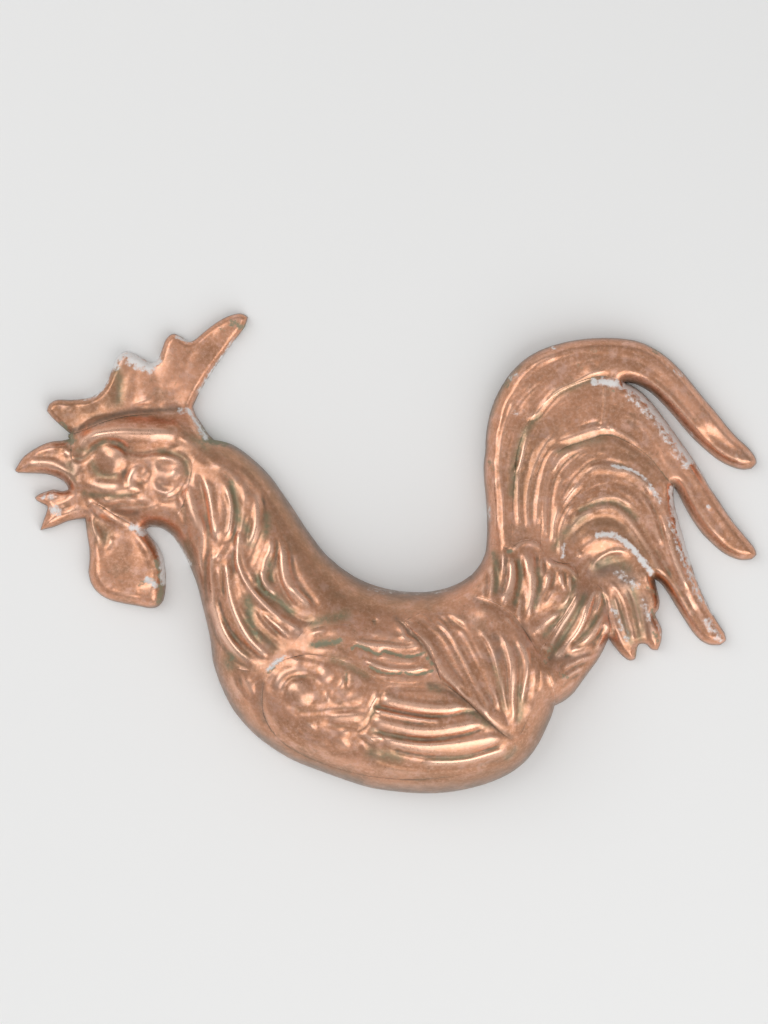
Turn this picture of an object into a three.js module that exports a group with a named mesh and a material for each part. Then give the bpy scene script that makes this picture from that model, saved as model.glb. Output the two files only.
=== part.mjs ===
// A cockerel mould of sheet copper: raised sections laid edge to edge and soft-soldered
// along the inside of every joint. It lies on its open rim with the relief facing up.
// Millimetres. +X runs from beak to tail, +Y from breast to comb, +Z out of the relief;
// the origin is on the rim plane, at the middle of the plan.
import * as THREE from 'three';

// Driving dimensions
const overallLength = 370.7; // from the beak to the tips of the tail
const overallWidth = 239.9; // from the belly to the tip of the comb
const sheet = 0.9; // thickness of the copper
const jointGap = 0.4; // clearance between two sections at a joint
const solderWidth = 3.6; // width of a solder run across its joint
const solderThickness = 1.2;
const solderClearance = 0.35; // between a run and the copper above it
const solderStep = 5; // length of one facet of a run
const solderEndMargin = 3.5; // a run stops short of a rim by this much
const solderEndGap = 1; // and of the side of another run by this much
const solderEndStep = 0.25; // how finely a run's end is placed
const solderFootShare = 0.5; // width of a run's foot, as a share of its width at the copper

// Depths of the relief over the rim plane
const bodyDepth = 40;
const breastDepth = 36;
const rumpDepth = 34;
const backDepth = 33;
const neckDepth = 28;
const headDepth = 19;
const beakDepth = 8;
const beakTipDepth = 5;
const chinDepth = 6.5;
const combDepth = 8.5;
const wattleDepth = 10;
const tailRootDepth = 22;
const tailDepth = 14;
const tailTipDepth = 8;
const plumeDepth = 14;
const plumeTipDepth = 7;

// How finely the curved sheet is divided into flat facets
const facetLength = 5.2;
const outlineTolerance = 0.25; // most that a chord of a rim or a joint may stray from its curve
const wallInsets = [0.06, 0.4]; // rows of corners up the wall behind a rim, as shares of its roll
const wallTolerance = 0.5; // most that it may stray in height
// A row's corner is left out where another rim comes nearer than this share of its own inset
const wallRowShare = 0.8;
const rowSpread = 0.7; // least distance between corners of a row, as a share of the inset, over shortestEdge
const shortestFacet = 1.9; // inner corners keep this far from a joint
const shortestEdge = 1; // an edge isn't divided below this
const flankShare = 0.75; // corners beside a stroke stand this share of its half-width away
const strokeGapShare = 0.34; // least distances between corners, as shares of a facet's length
const latticeGapShare = 0.7;
const edgeGapShare = 0.75; // the same from the outline, as a share of those
const leastArea = 1e-6; // of a triangle
const sideKey = 65536; // a side is kept as one number: its first corner times this, plus its second
const fadeBehindRim = 4; // the strokes and the swell of a section die away over this distance
const fadeBehindJoint = 3.5;
const rimBlend = 1.5; // two rims count as equally near within about this
const finePieceCount = 4; // how finely a curve is followed between two of its points
const straightCorner = 0.3; // a corner that turns by less than this sine is taken as straight
const mitreRatio = 3; // a corner moves in by no more than this times the sides' own move

// Finishes: copper as it shows on the raised and on the duller sections, and old soft solder
const rubbedCopper = { color: 0xb5734f, roughness: 0.36, metalness: 1 };
const dullCopper = { color: 0x9c6648, roughness: 0.45, metalness: 1 };
const oldSolder = { color: 0x9c9d98, roughness: 0.55, metalness: 1 };

// Free edges of the sections. They end on the rim plane. The outline is drawn at about its real
// size, and stretched to the overall length and width.
const rims = {
  combFront: [[-158, 60], [-163, 64.3], [-167, 68], [-169.6, 71.3]],
  combTop: [[-169.6, 71.3], [-168.3, 74.6], [-164.5, 76.8], [-157, 76.8], [-149, 77.8], [-143.5, 80.5],
    [-139.5, 85.5], [-137, 92], [-134.8, 97.3], [-131, 100.8], [-126.5, 100.3], [-121.5, 97.6],
    [-117.3, 95.4], [-114, 97.3], [-112, 102], [-110.2, 106.8], [-106.8, 109.8], [-103, 108.8],
    [-99.5, 106.3], [-96, 106.6], [-91, 110.7], [-85, 115.3], [-78.5, 118.8], [-72.5, 120], [-69, 118.2]],
  combRear: [[-96.5, 73.5], [-92.8, 81.3], [-88, 89], [-82, 98], [-76, 106], [-70.8, 113], [-69, 118.2]],
  headRear: [[-96.5, 73.5], [-95.3, 70], [-92.5, 65.3], [-89, 60], [-86, 56.8]],
  headFront: [[-158.3, 57.3], [-159, 58.7], [-158, 60]],
  throatNotch: [[-118, 13.2], [-119.2, 12.7], [-120, 11.7]],
  beakRidge: [[-158.3, 57.3], [-162, 56.5], [-167, 56], [-172, 54.3], [-177, 51.5], [-181.5, 48],
    [-184.8, 43]],
  beakTip: [[-184.8, 43], [-185.4, 41.4], [-184, 40.4]],
  beakGape: [[-158.8, 32], [-159.6, 34.2], [-162, 36.6], [-166, 38.6], [-171, 39.8], [-177, 40.1],
    [-184, 40.4]],
  tongueTop: [[-158.8, 32], [-162, 31.2], [-166, 32], [-170, 31], [-173.5, 29.6], [-175.5, 28]],
  beakFork: [[-175.5, 28], [-174.6, 26.5], [-171.5, 24.8], [-169.3, 23.4], [-169.8, 20.5], [-171.3, 16.5],
    [-172.8, 11.6]],
  chin: [[-150.4, 17.4], [-155, 17], [-160, 15.8], [-166, 13.3], [-172.8, 11.6]],
  wattleFront: [[-150.4, 17.4], [-149.5, 10], [-148.4, 3], [-148.2, -3], [-148.8, -9]],
  wattleFoot: [[-148.8, -9], [-147.6, -14.5], [-144.3, -19.3], [-139, -22.8], [-132, -24.8], [-124, -26.2],
    [-118, -27.3], [-113.8, -26.4], [-111.3, -23.5]],
  wattleBack: [[-120, 11.7], [-117, 8], [-114, 4], [-111.6, -1], [-110.3, -7], [-110, -14], [-110.4, -19.5],
    [-111.3, -23.5]],
  throat: [[-118, 13.2], [-112.5, 12.6], [-107, 9], [-103, 3.5], [-99.5, -3], [-96.5, -10], [-94, -17],
    [-92, -25], [-90, -33], [-88, -42], [-86.6, -53.5]],
  nape: [[-86, 56.8], [-82, 56.1], [-77, 54.5], [-72, 51.5], [-67, 47.5], [-62, 43], [-57, 37.5], [-52, 30.5],
    [-46.5, 22.5], [-41, 14], [-36, 7], [-30, -0.5], [-22, -7.5]],
  backEdge: [[-22, -7.5], [-14, -12.5], [-5, -16.2], [5, -18.5], [14, -19.3], [22, -19], [30, -17.3],
    [37, -14.5], [43, -10.5]],
  rootEdge: [[43, -10.5], [47, -5.5], [49.5, 0], [50.2, 4]],
  bodyEdge: [[-86.6, -53.5], [-84.4, -61], [-80.5, -70.5], [-75, -80], [-66, -90], [-57, -97], [-46, -103.5],
    [-33, -108.6], [-20, -113.3], [-8, -117], [4, -118.8], [16, -119.8], [28, -119.6], [40, -117.8],
    [52, -114.4], [62, -109.8], [70, -103.5], [76, -95.5], [80.5, -86.5], [83, -80.5], [84.3, -76]],
  fluffEdge: [[84.3, -76], [88.5, -74], [93.5, -70], [98, -64], [102, -58.5], [106, -53], [109, -47.5],
    [111.3, -42.5]],
  plumeBlades: [[111.3, -42.5], [114.5, -47], [118, -51], [121.5, -53.4], [124.6, -52.6], [125.4, -48.5],
    [126.6, -45.4], [130, -45.4], [132.8, -48], [135.8, -48.3]],
  plumeEdge: [[134.3, -12.8], [135.8, -19], [136.8, -24], [136.2, -28], [134.6, -30.6], [136.2, -34],
    [138, -38.5], [137.4, -44.5], [135.8, -48.3]],
  outerSickleBack: [[50.2, 4], [50.6, 12], [50.4, 20], [49.9, 28], [49.1, 36], [48.8, 44], [49.6, 51],
    [50, 59], [51.5, 68], [54, 76], [58, 84], [63, 91], [70, 97.5], [78, 102], [87, 105], [97, 107],
    [108, 107.8], [118, 107.4], [126, 106], [133, 103], [140, 98.5], [147, 92], [153, 85], [159, 77.5],
    [165, 70.5], [171, 63], [176, 57.5], [181, 53], [184.4, 48.6]],
  outerSickleTip: [[184.4, 48.6], [185.3, 45.2], [182.6, 42.4]],
  outerSickleFront: [[119.5, 85.3], [124, 84.8], [129, 82.6], [134, 79], [139, 74], [144, 68.5], [149, 62.5],
    [154, 57], [160, 51.5], [166, 46.8], [172, 43.6], [178, 41.9], [182.6, 42.4]],
  middleSickleBack: [[119.5, 85.3], [124, 83.2], [128.5, 80], [133, 75.3], [138, 69], [143, 62], [148, 55],
    [153, 48], [158, 40], [162, 33], [166, 27], [170, 21], [175, 14], [180, 8], [184, 3.2]],
  middleSickleTip: [[184, 3.2], [185.3, -0.4], [182.8, -2.9]],
  middleSickleFront: [[144, 33], [146, 30], [149, 24], [153, 17], [158, 10], [163, 5], [168, 0.7], [173, -2],
    [178, -3.3], [182.8, -2.9]],
  innerSickleBack: [[144, 33], [143.8, 28], [144.8, 22], [147, 14], [149.5, 5], [152.5, -5], [156, -15],
    [160, -24], [165, -33], [169.2, -39.6]],
  innerSickleTip: [[169.2, -39.6], [170, -43.4], [167, -45.8]],
  innerSickleFront: [[134.3, -12.8], [137.5, -15.2], [141, -20], [145, -26.5], [149.5, -33.5], [153.5, -39.5],
    [157.5, -43.6], [162, -45.7], [167, -45.8]],
};

// Joints between two sections
const joints = {
  combFoot: [[-158, 60], [-153, 60.8], [-147, 63], [-140, 65.8], [-132, 68], [-124, 69.2], [-115, 69.8],
    [-106, 70.2], [-100, 71.3], [-96.5, 73.5]],
  beakRoot: [[-158.3, 57.3], [-157, 52], [-156.5, 46], [-157, 40], [-158.8, 32]],
  chinRoot: [[-158.8, 32], [-155.2, 27.8], [-152.4, 22.6], [-150.4, 17.4]],
  wattleRoot: [[-150.4, 17.4], [-149.6, 22], [-147, 25.2], [-142, 24], [-136, 20], [-130, 16.5], [-125, 14],
    [-120, 11.7]],
  faceToNeck: [[-86, 56.8], [-91.5, 52], [-95.5, 46], [-97.5, 38], [-99.2, 30], [-102, 22], [-107, 16.6],
    [-113, 14], [-118, 13.2]],
  neckToBack: [[-22, -7.5], [-27, -16], [-31, -24], [-35, -31], [-41, -38.5]],
  neckToScapular: [[-41, -38.5], [-47, -45.5], [-52, -51], [-57, -56]],
  neckToBreast: [[-57, -56], [-65, -57.8], [-75, -56.5], [-86.6, -53.5]],
  scapularTop: [[-41, -38.5], [-33, -36], [-25, -35], [-15, -34.5], [-4, -33], [8, -33.5]],
  saddleTop: [[8, -33.5], [18, -28.5], [28, -23.8], [39, -20.3]],
  backToCoverts: [[39, -20.3], [40.6, -15], [43, -10.5]],
  saddleFrontUpper: [[8, -33.5], [14, -38], [20, -43.5], [23, -50], [25, -57], [27, -63]],
  saddleFrontLower: [[27, -63], [33, -67.5], [40, -73], [47, -80], [54, -86], [60, -90.4], [63.6, -92.6]],
  saddleRearUpper: [[39, -20.3], [50, -22.5], [60, -28], [67, -35.5], [72, -43], [75.5, -50]],
  saddleRearLower: [[75.5, -50], [76.2, -58], [75.4, -67], [72.6, -77], [67.5, -87.4], [63.6, -92.6]],
  wingShoulder: [[-57, -56], [-60.6, -64], [-61.6, -74]],
  wingTop: [[-57, -56], [-50, -52], [-42, -50], [-34, -50], [-26, -51.8], [-18, -54.2], [-10, -58.5],
    [-2, -62.6], [8, -64], [18, -63.6], [27, -63]],
  wingBottom: [[-61.6, -74], [-60.6, -80.5], [-57, -87.5], [-51, -94], [-42, -99.5], [-32, -104],
    [-20, -107.8], [-6, -110.6], [8, -111.8], [22, -111.6], [36, -109.8], [48, -106.6], [57, -103.3],
    [62.5, -100.2]],
  wingTip: [[62.5, -100.2], [64.4, -96.4], [63.6, -92.6]],
  covertsTopOuter: [[50.2, 4], [54, 4.6], [58, 3], [62, 3]],
  covertsTopMiddle: [[62, 3], [66, 5.8], [70, 6.8], [74, 6], [77, 3.5]],
  covertsTopInner: [[77, 3.5], [80, -0.5], [84, -3.5], [88.5, -4.6], [93, -4.5]],
  covertsToPlume: [[93, -4.5], [95.4, -10], [96.5, -17]],
  covertsToFluff: [[96.5, -17], [91, -27], [85, -35.5], [80, -43], [75.5, -50]],
  fluffToPlumeUpper: [[96.5, -17], [100, -15.6], [104, -14.2]],
  fluffToPlumeLower: [[104, -14.2], [107.6, -17.6], [109.6, -23], [110.8, -30], [111.6, -37], [111.3, -42.5]],
  bodyToFluff: [[84.3, -76], [83.8, -69.5], [81.2, -62], [78.4, -56], [75.5, -50]],
  plumeTop: [[93, -4.5], [97, 0], [102, 5.4], [108, 8.8], [114, 8.4], [119, 5.4], [124, 0.4], [128, -4.6],
    [131.5, -9.4], [134.3, -12.8]],
  outerValley: [[62, 3], [62.4, 12], [63, 22], [63.6, 34], [64.6, 45], [66.6, 55], [70, 64], [75, 70.8],
    [80, 76], [86, 80.6], [94, 84.4], [102, 87.2], [110, 87.9], [119.5, 85.3]],
  innerValley: [[77, 3.5], [77, 15], [77.6, 26], [79, 36], [81.2, 43.6], [84.6, 49.4], [89, 53], [95, 55],
    [101, 57], [107, 58.8], [113, 58.6], [119, 56], [125, 52.6], [131, 48], [136, 42], [140.5, 36.4],
    [144, 33]],
};

// Places where the depth of the relief is set: x, y, depth, how far in from a rim the sheet
// rolls over, and how far the place reaches.
const stations = [
  [-128, 46, headDepth, 12, 17], [-108, 44, headDepth, 12, 14], [-148, 42, headDepth * 0.72, 8, 10],
  [-152, 26, chinDepth * 1.35, 5, 6], [-164, 22, chinDepth, 3.6, 8], [-163, 47, beakDepth * 1.2, 5.5, 7],
  [-172, 47, beakDepth, 4.5, 9], [-184, 42, beakTipDepth, 3, 6],
  [-160, 68, combDepth * 0.85, 3.2, 10], [-140, 76, combDepth, 3.6, 9], [-120, 82, combDepth, 3.6, 11],
  [-102, 88, combDepth, 3.6, 14], [-128, 90, combDepth * 0.9, 3.2, 14], [-82, 107, combDepth * 0.72, 3, 16],
  [-132, 8, wattleDepth * 0.9, 5, 9], [-130, -8, wattleDepth, 6, 15],
  [-86, 42, neckDepth * 0.82, 15, 16], [-92, 8, neckDepth * 0.82, 15, 18],
  [-66, 22, neckDepth * 0.94, 20, 20], [-70, -14, neckDepth, 24, 24], [-34, -8, neckDepth, 19, 22],
  [-66, -46, breastDepth * 0.94, 27, 22],
  [-62, -78, breastDepth, 30, 24], [-36, -92, bodyDepth * 0.96, 34, 26], [-8, -62, bodyDepth, 40, 36],
  [20, -92, bodyDepth, 38, 34], [50, -70, bodyDepth * 0.96, 34, 26], [72, -76, rumpDepth, 26, 20],
  [8, -30, backDepth, 24, 22], [45, -34, backDepth, 20, 20], [58, -8, tailRootDepth * 1.14, 12, 15],
  [80, -22, tailRootDepth * 1.1, 12, 16], [95, -48, tailRootDepth * 0.82, 12, 17],
  [112, -12, plumeDepth, 6, 12], [124, -30, plumeDepth * 0.7, 4.5, 13], [124, -48, plumeTipDepth, 3.6, 10],
  [64, 22, tailRootDepth * 0.8, 8, 18], [86, 14, tailRootDepth * 0.78, 8, 18],
  [60, 52, tailDepth * 1.1, 7, 20], [72, 84, tailDepth, 6.5, 18], [108, 97, tailDepth * 0.94, 6, 22],
  [145, 80, tailDepth * 0.86, 6, 20],
  [180, 48, tailTipDepth, 5, 18], [100, 70, tailDepth * 1.06, 6, 20], [132, 62, tailDepth * 0.94, 6, 18],
  [158, 28, tailDepth * 0.8, 6, 20], [180, 1, tailTipDepth, 5, 18], [100, 34, tailDepth * 1.06, 6, 20],
  [132, 30, tailDepth * 0.96, 6, 16], [142, -4, tailDepth * 0.84, 6, 18], [164, -40, tailTipDepth, 5, 18],
];

// The main strokes of the relief: a ridge or a fold along a path, with its height and half-width.
const strokes = {
  combRidge: { height: 0.8, width: 9, path: [[-105, 101], [-106, 92], [-109, 82]] },
  combFold: { height: -0.6, width: 6, path: [[-133.5, 92], [-132.2, 86], [-134, 74]] },
  brow: {
    height: 3.1, width: 8, path: [[-154.5, 51], [-145, 59.4], [-135, 61.4], [-110, 60.4], [-103.4, 57.6]],
  },
  browFold: {
    height: -1.3, width: 3.2, path: [[-156, 48.5], [-147, 51], [-138, 56], [-128.6, 51], [-102, 53]],
  },
  eye: { height: 2.4, width: 6.7, path: [[-137.4, 47.4], [-136, 47]] },
  eyeHollow: { height: -0.9, width: 4.8, path: [[-146.4, 46.6], [-140.6, 38.8], [-129, 41.6]] },
  earlobe: { height: 1.4, width: 9.6, path: [[-108.6, 40], [-107.8, 38.6]] },
  earHollowUpper: { height: -0.9, width: 4, path: [[-111.4, 43.8], [-108.8, 43.2]] },
  earHollowLower: { height: -0.9, width: 4, path: [[-111.4, 34.2], [-109.2, 33.6]] },
  earFold: { height: -0.8, width: 3, path: [[-104.6, 49.8], [-98, 40], [-104.4, 29], [-114.4, 29.8]] },
  cheek: { height: 1.5, width: 5, path: [[-150, 34], [-137, 32], [-125.5, 32]] },
  cheekCurl: { height: 1.3, width: 3.4, path: [[-120.6, 44], [-126.8, 37.4], [-121.6, 31.4]] },
  cheekFold: { height: -0.9, width: 2.6, path: [[-149.6, 30.2], [-137, 28.4], [-120.6, 30.2]] },
  wattleCrest: { height: 1.4, width: 2.8, path: [[-149, 27.6], [-139.5, 19.4], [-126.5, 13]] },
  wattleRidge: { height: 1.2, width: 3.2, path: [[-149, 22], [-146.6, 14], [-142, 4.6]] },
  wattleHollow: { height: -1.2, width: 6, path: [[-147.6, 21.6], [-138.6, 11.6], [-132.6, 7.4]] },
  wattleRoll: { height: 0.8, width: 4, path: [[-139, -19.6], [-130, -21.4], [-121, -21.6]] },
  beakRoll: { height: 1.3, width: 3.4, path: [[-181, 43.4], [-167, 44.4], [-156.6, 36.6]] },
  chinRoll: { height: 0.9, width: 2.9, path: [[-171.6, 14], [-158.6, 20], [-153.6, 23]] },
  hackleOne: { height: 1.4, width: 3.6, path: [[-99.6, 36], [-95, 20], [-91.8, 9]] },
  hackleTwo: { height: 1.5, width: 3.1, path: [[-91.4, 38], [-86.6, 23], [-83.4, 6]] },
  hackleThree: { height: 1.3, width: 3.4, path: [[-85.6, 2], [-86.6, -18], [-82.4, -36], [-71, -51]] },
  hackleFour: { height: 1.6, width: 2.7, path: [[-79, -4], [-76.8, -23], [-68.8, -40.6], [-57.4, -51]] },
  hackleFive: {
    height: 1.6, width: 2.5, path: [[-73.4, 12], [-73, -4], [-66.2, -18.4], [-53, -31.4], [-41.6, -39.4]],
  },
  hackleSix: { height: 1.1, width: 2.9, path: [[-64.6, 34], [-63.6, 18], [-68, 2.6]] },
  hackleSeven: { height: 1.2, width: 2.7, path: [[-56.6, 8], [-59.4, -3.6], [-60.2, -10], [-54, -19]] },
  hackleEight: { height: 1.4, width: 3.8, path: [[-50.6, 6], [-49.4, -13], [-35.6, -28.4]] },
  hackleFoldOne: { height: -1.1, width: 3, path: [[-94.4, 40], [-88.4, 14], [-89.4, -6], [-88.4, -27]] },
  hackleFoldTwo: { height: -1.1, width: 3.1, path: [[-82, 42], [-73.8, 21], [-76.6, 7], [-83.6, -2]] },
  hackleFoldThree: { height: -1, width: 3, path: [[-84.4, -20], [-77.6, -37], [-60.4, -54]] },
  hackleFoldFour: { height: -0.9, width: 3.1, path: [[-70.6, -19], [-66, -33], [-50.6, -47.4]] },
  hackleFoldFive: { height: -1, width: 2.7, path: [[-62, 30], [-60.8, 14], [-67.6, -6]] },
  hackleFoldSix: { height: -1, width: 3, path: [[-64.6, -13], [-51.4, -25.4], [-35, -33]] },
  hackleFoldSeven: { height: -0.8, width: 3.5, path: [[-75.6, 44], [-54, 16], [-45.6, -6], [-33, -27]] },
  breastLock: { height: 1.2, width: 3.8, path: [[-76, -58], [-76, -63.6], [-68.6, -72.4]] },
  wingFold: { height: -0.8, width: 4, path: [[-62.6, -60], [-63, -76], [-54, -91], [-32, -103], [-2, -110]] },
  scapularRidge: { height: 1, width: 2.4, path: [[-16.6, -43.6], [-2, -45.2], [16.6, -45.8]] },
  scapularFold: { height: -0.9, width: 2.4, path: [[-17, -47], [-3.8, -49.6], [19.2, -48.8]] },
  shoulderBoss: { height: 1.6, width: 8, path: [[-42.6, -69.2], [-40.6, -70.2]] },
  shoulderScale: { height: 1, width: 3.6, path: [[-53.4, -68], [-53, -63.4], [-49.6, -59.4], [-39, -58]] },
  shoulderFold: { height: -0.8, width: 2.8, path: [[-50.6, -70.6], [-46.4, -61.6], [-31.8, -64.6]] },
  scaleRidge: { height: 1, width: 4, path: [[-33.6, -57], [-29.8, -59.4], [-27.4, -63]] },
  scaleFold: { height: -0.8, width: 3.5, path: [[-50, -74], [-36, -77.4], [-9, -76.4]] },
  covertTip: { height: 1.3, width: 2.6, path: [[-14, -86.4], [-6.6, -93]] },
  covertFold: { height: -0.8, width: 2.5, path: [[-1.4, -66.6], [-4.6, -75], [-14.6, -90]] },
  primaryOne: { height: 1.8, width: 5, path: [[-3, -70], [10, -72.4], [22, -75], [38, -75]] },
  primaryFoldOne: { height: -0.9, width: 2.4, path: [[-5, -76], [10, -78.6], [24, -79.4], [38, -76.8]] },
  primaryTwo: { height: 1.6, width: 5, path: [[-6, -81], [6, -84], [30, -85.4], [46, -82.8]] },
  primaryFoldTwo: { height: -0.9, width: 2.4, path: [[-6, -86.6], [8, -90.8], [26, -91.6], [48, -86.8]] },
  primaryThree: { height: 1.4, width: 5, path: [[0, -92.6], [16, -95], [36, -94], [56, -91.4]] },
  primaryFoldThree: {
    height: -0.9, width: 2.4, path: [[14, -100.6], [28, -101.6], [42, -99.8], [57, -94.8]],
  },
  primaryFour: { height: 1.2, width: 3.2, path: [[22, -103.6], [42, -102.8], [60, -98.8]] },
  saddleEdge: {
    height: 1.8, width: 6, path: [[4.6, -28.8], [17.2, -38.2], [25.6, -51.2], [37.2, -65.4], [54.2, -81.4]],
  },
  saddleLockOne: { height: 1, width: 2.5, path: [[22, -33], [33, -41.6], [42, -58], [52, -76.4]] },
  saddleLockTwo: { height: 1, width: 2.5, path: [[36, -36], [45.6, -50], [52, -67], [56.6, -77]] },
  saddleLockThree: { height: 1.1, width: 2.6, path: [[57, -41], [62.6, -56], [62.6, -74]] },
  saddleLockFour: { height: 1, width: 2.5, path: [[64.6, -42], [70.4, -57], [67.6, -74]] },
  saddleFoldOne: { height: -0.8, width: 2.5, path: [[29.6, -30], [39, -38], [47, -54], [54.4, -75]] },
  saddleFoldTwo: { height: -0.8, width: 2.5, path: [[47, -40.6], [53.6, -57], [60.4, -85]] },
  covertsLockOne: { height: 1.6, width: 2.9, path: [[61.6, -1], [62, -15], [58, -26]] },
  covertsLockTwo: { height: 2, width: 3.8, path: [[69.6, 3], [72.4, -11], [71.6, -27], [69, -33]] },
  covertsLockThree: { height: 1.1, width: 2.5, path: [[80.8, -8], [77, -22], [74.6, -29]] },
  covertsLockFour: { height: 1.3, width: 2.6, path: [[87, -29], [77, -36.4], [72.6, -40]] },
  covertsFoldOne: { height: -1, width: 2.8, path: [[53.6, 1.6], [55.6, -14], [54, -22]] },
  covertsFoldTwo: { height: -1, width: 2.8, path: [[65.6, 1], [67, -13], [63, -28]] },
  fluffLeafOne: { height: 1.8, width: 3.1, path: [[106, -15.6], [100.4, -28], [94, -41], [83.6, -53]] },
  fluffLeafTwo: { height: 1.2, width: 2.7, path: [[108.4, -29], [103, -40], [90, -49.6]] },
  fluffLeafThree: { height: 0.9, width: 2.4, path: [[102.6, -50.6], [95, -53], [87, -57]] },
  fluffFold: { height: -1, width: 3.2, path: [[100, -17], [92.6, -33], [79.6, -56]] },
  plumeCurl: { height: 1.6, width: 5.5, path: [[97, 1], [110, 6], [122.6, -2]] },
  plumeHollow: { height: -1.3, width: 6, path: [[104, -9.6], [110, -6], [122, -8]] },
  plumeBlade: { height: 0.8, width: 2.4, path: [[111, -14], [118.8, -27], [124, -44]] },
  outerSickleRidge: { height: 0.8, width: 2.6, path: [[69.6, 67.4], [79, 74], [88, 82], [109, 90.4]] },
  outerSickleQuill: { height: 0.6, width: 3.6, path: [[130, 96], [153, 76], [176, 53]] },
  middleSickleRidge: { height: 0.7, width: 2.6, path: [[88, 56.6], [104, 61.6], [112, 61.6], [126, 53.6]] },
  middleSickleQuill: { height: 0.8, width: 3.2, path: [[137, 49], [150, 31], [170, 5]] },
  middleSickleFold: { height: -0.8, width: 2.7, path: [[81, 51.4], [106, 58.6], [118.6, 55.6], [142, 33.6]] },
  innerSickleRidgeOne: { height: 1, width: 2.6, path: [[83.4, 4], [87, 23], [97, 35]] },
  innerSickleRidgeTwo: { height: 0.8, width: 3.1, path: [[98, 40.4], [112, 42], [134, 28]] },
  innerSickleRidgeThree: { height: 0.8, width: 2.5, path: [[99, 24], [111, 28], [122, 23]] },
  innerSickleQuill: { height: 1, width: 2.9, path: [[133, 30], [141.6, 4], [150.6, -18], [163, -40]] },
  innerSickleFoldOne: { height: -0.8, width: 2.6, path: [[85.4, 20], [94, 37.6], [111, 45.6], [120, 43]] },
  innerSickleFoldTwo: { height: -0.8, width: 2.6, path: [[93, 19], [110.4, 26.2], [127, 14.6], [143, -13]] },
  innerSickleFoldThree: { height: -0.6, width: 3.5, path: [[89.6, 0], [97, 13.4], [113, 16.4], [133, -7]] },
};

// The sections of sheet: the edges round each one in order, how far some swell above their
// joints, and the finish.
const sections = {
  comb: { edges: ['combFoot', 'combRear', 'combTop', 'combFront'], finish: dullCopper },
  upper_beak: { edges: ['beakGape', 'beakTip', 'beakRidge', 'beakRoot'], finish: rubbedCopper },
  lower_beak: { edges: ['chin', 'beakFork', 'tongueTop', 'chinRoot'], finish: dullCopper },
  face: {
    edges: ['wattleRoot', 'throatNotch', 'faceToNeck', 'headRear', 'combFoot', 'headFront', 'beakRoot',
      'chinRoot'],
    finish: rubbedCopper,
  },
  wattle: { edges: ['wattleFoot', 'wattleBack', 'wattleRoot', 'wattleFront'], finish: dullCopper },
  neck: {
    edges: ['throat', 'neckToBreast', 'neckToScapular', 'neckToBack', 'nape', 'faceToNeck'],
    finish: rubbedCopper,
  },
  back: {
    edges: ['scapularTop', 'saddleTop', 'backToCoverts', 'backEdge', 'neckToBack'],
    finish: dullCopper,
  },
  breast_and_belly: {
    edges: ['bodyEdge', 'bodyToFluff', 'saddleRearLower', 'wingTip', 'wingBottom', 'wingShoulder',
      'neckToBreast'],
    finish: rubbedCopper,
  },
  scapular: {
    edges: ['wingTop', 'saddleFrontUpper', 'scapularTop', 'neckToScapular'],
    finish: rubbedCopper,
  },
  wing: {
    edges: ['wingShoulder', 'wingBottom', 'wingTip', 'saddleFrontLower', 'wingTop'],
    swell: 1, finish: rubbedCopper,
  },
  saddle: {
    edges: ['saddleFrontUpper', 'saddleFrontLower', 'saddleRearLower', 'saddleRearUpper', 'saddleTop'],
    finish: rubbedCopper,
  },
  tail_coverts: {
    edges: ['saddleRearUpper', 'covertsToFluff', 'covertsToPlume', 'covertsTopInner', 'covertsTopMiddle',
      'covertsTopOuter', 'rootEdge', 'backToCoverts'],
    finish: rubbedCopper,
  },
  tail_fluff: {
    edges: ['fluffEdge', 'fluffToPlumeLower', 'fluffToPlumeUpper', 'covertsToFluff', 'bodyToFluff'],
    finish: rubbedCopper,
  },
  tail_plume: {
    edges: ['fluffToPlumeUpper', 'fluffToPlumeLower', 'plumeBlades', 'plumeEdge', 'plumeTop',
      'covertsToPlume'],
    finish: dullCopper,
  },
  outer_sickle: {
    edges: ['outerValley', 'outerSickleFront', 'outerSickleTip', 'outerSickleBack', 'covertsTopOuter'],
    swell: 0.6, finish: rubbedCopper,
  },
  middle_sickle: {
    edges: ['innerValley', 'middleSickleFront', 'middleSickleTip', 'middleSickleBack', 'outerValley',
      'covertsTopMiddle'],
    swell: 0.4, finish: rubbedCopper,
  },
  inner_sickle: {
    edges: ['plumeTop', 'innerSickleFront', 'innerSickleTip', 'innerSickleBack', 'innerValley',
      'covertsTopInner'],
    swell: 0.4, finish: rubbedCopper,
  },
};

// Runs of solder, each along the joints that it closes, from end to end. Where two would meet,
// the later one stops short.
const solderRuns = {
  neck_solder: ['neckToBreast', 'neckToScapular', 'neckToBack'],
  back_solder: ['scapularTop', 'saddleTop', 'backToCoverts'],
  saddle_front_solder: ['saddleFrontUpper', 'saddleFrontLower'],
  saddle_rear_solder: ['saddleRearUpper', 'saddleRearLower'],
  wing_top_solder: ['wingTop'],
  wing_lower_solder: ['wingShoulder', 'wingBottom', 'wingTip'],
  coverts_rear_solder: ['covertsToFluff', 'covertsToPlume'],
  tail_root_solder: ['covertsTopOuter', 'covertsTopMiddle', 'covertsTopInner'],
  fluff_root_solder: ['bodyToFluff'],
  plume_root_solder: ['fluffToPlumeUpper', 'fluffToPlumeLower'],
  plume_top_solder: ['plumeTop'],
  outer_valley_solder: ['outerValley'],
  inner_valley_solder: ['innerValley'],
  face_solder: ['faceToNeck'],
  comb_solder: ['combFoot'],
  wattle_solder: ['wattleRoot'],
  upper_beak_solder: ['beakRoot'],
  lower_beak_solder: ['chinRoot'],
};

const clamp = (value) => Math.min(1, Math.max(0, value));
const smooth = (value) => clamp(value) ** 2 * (3 - 2 * clamp(value));

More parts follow.
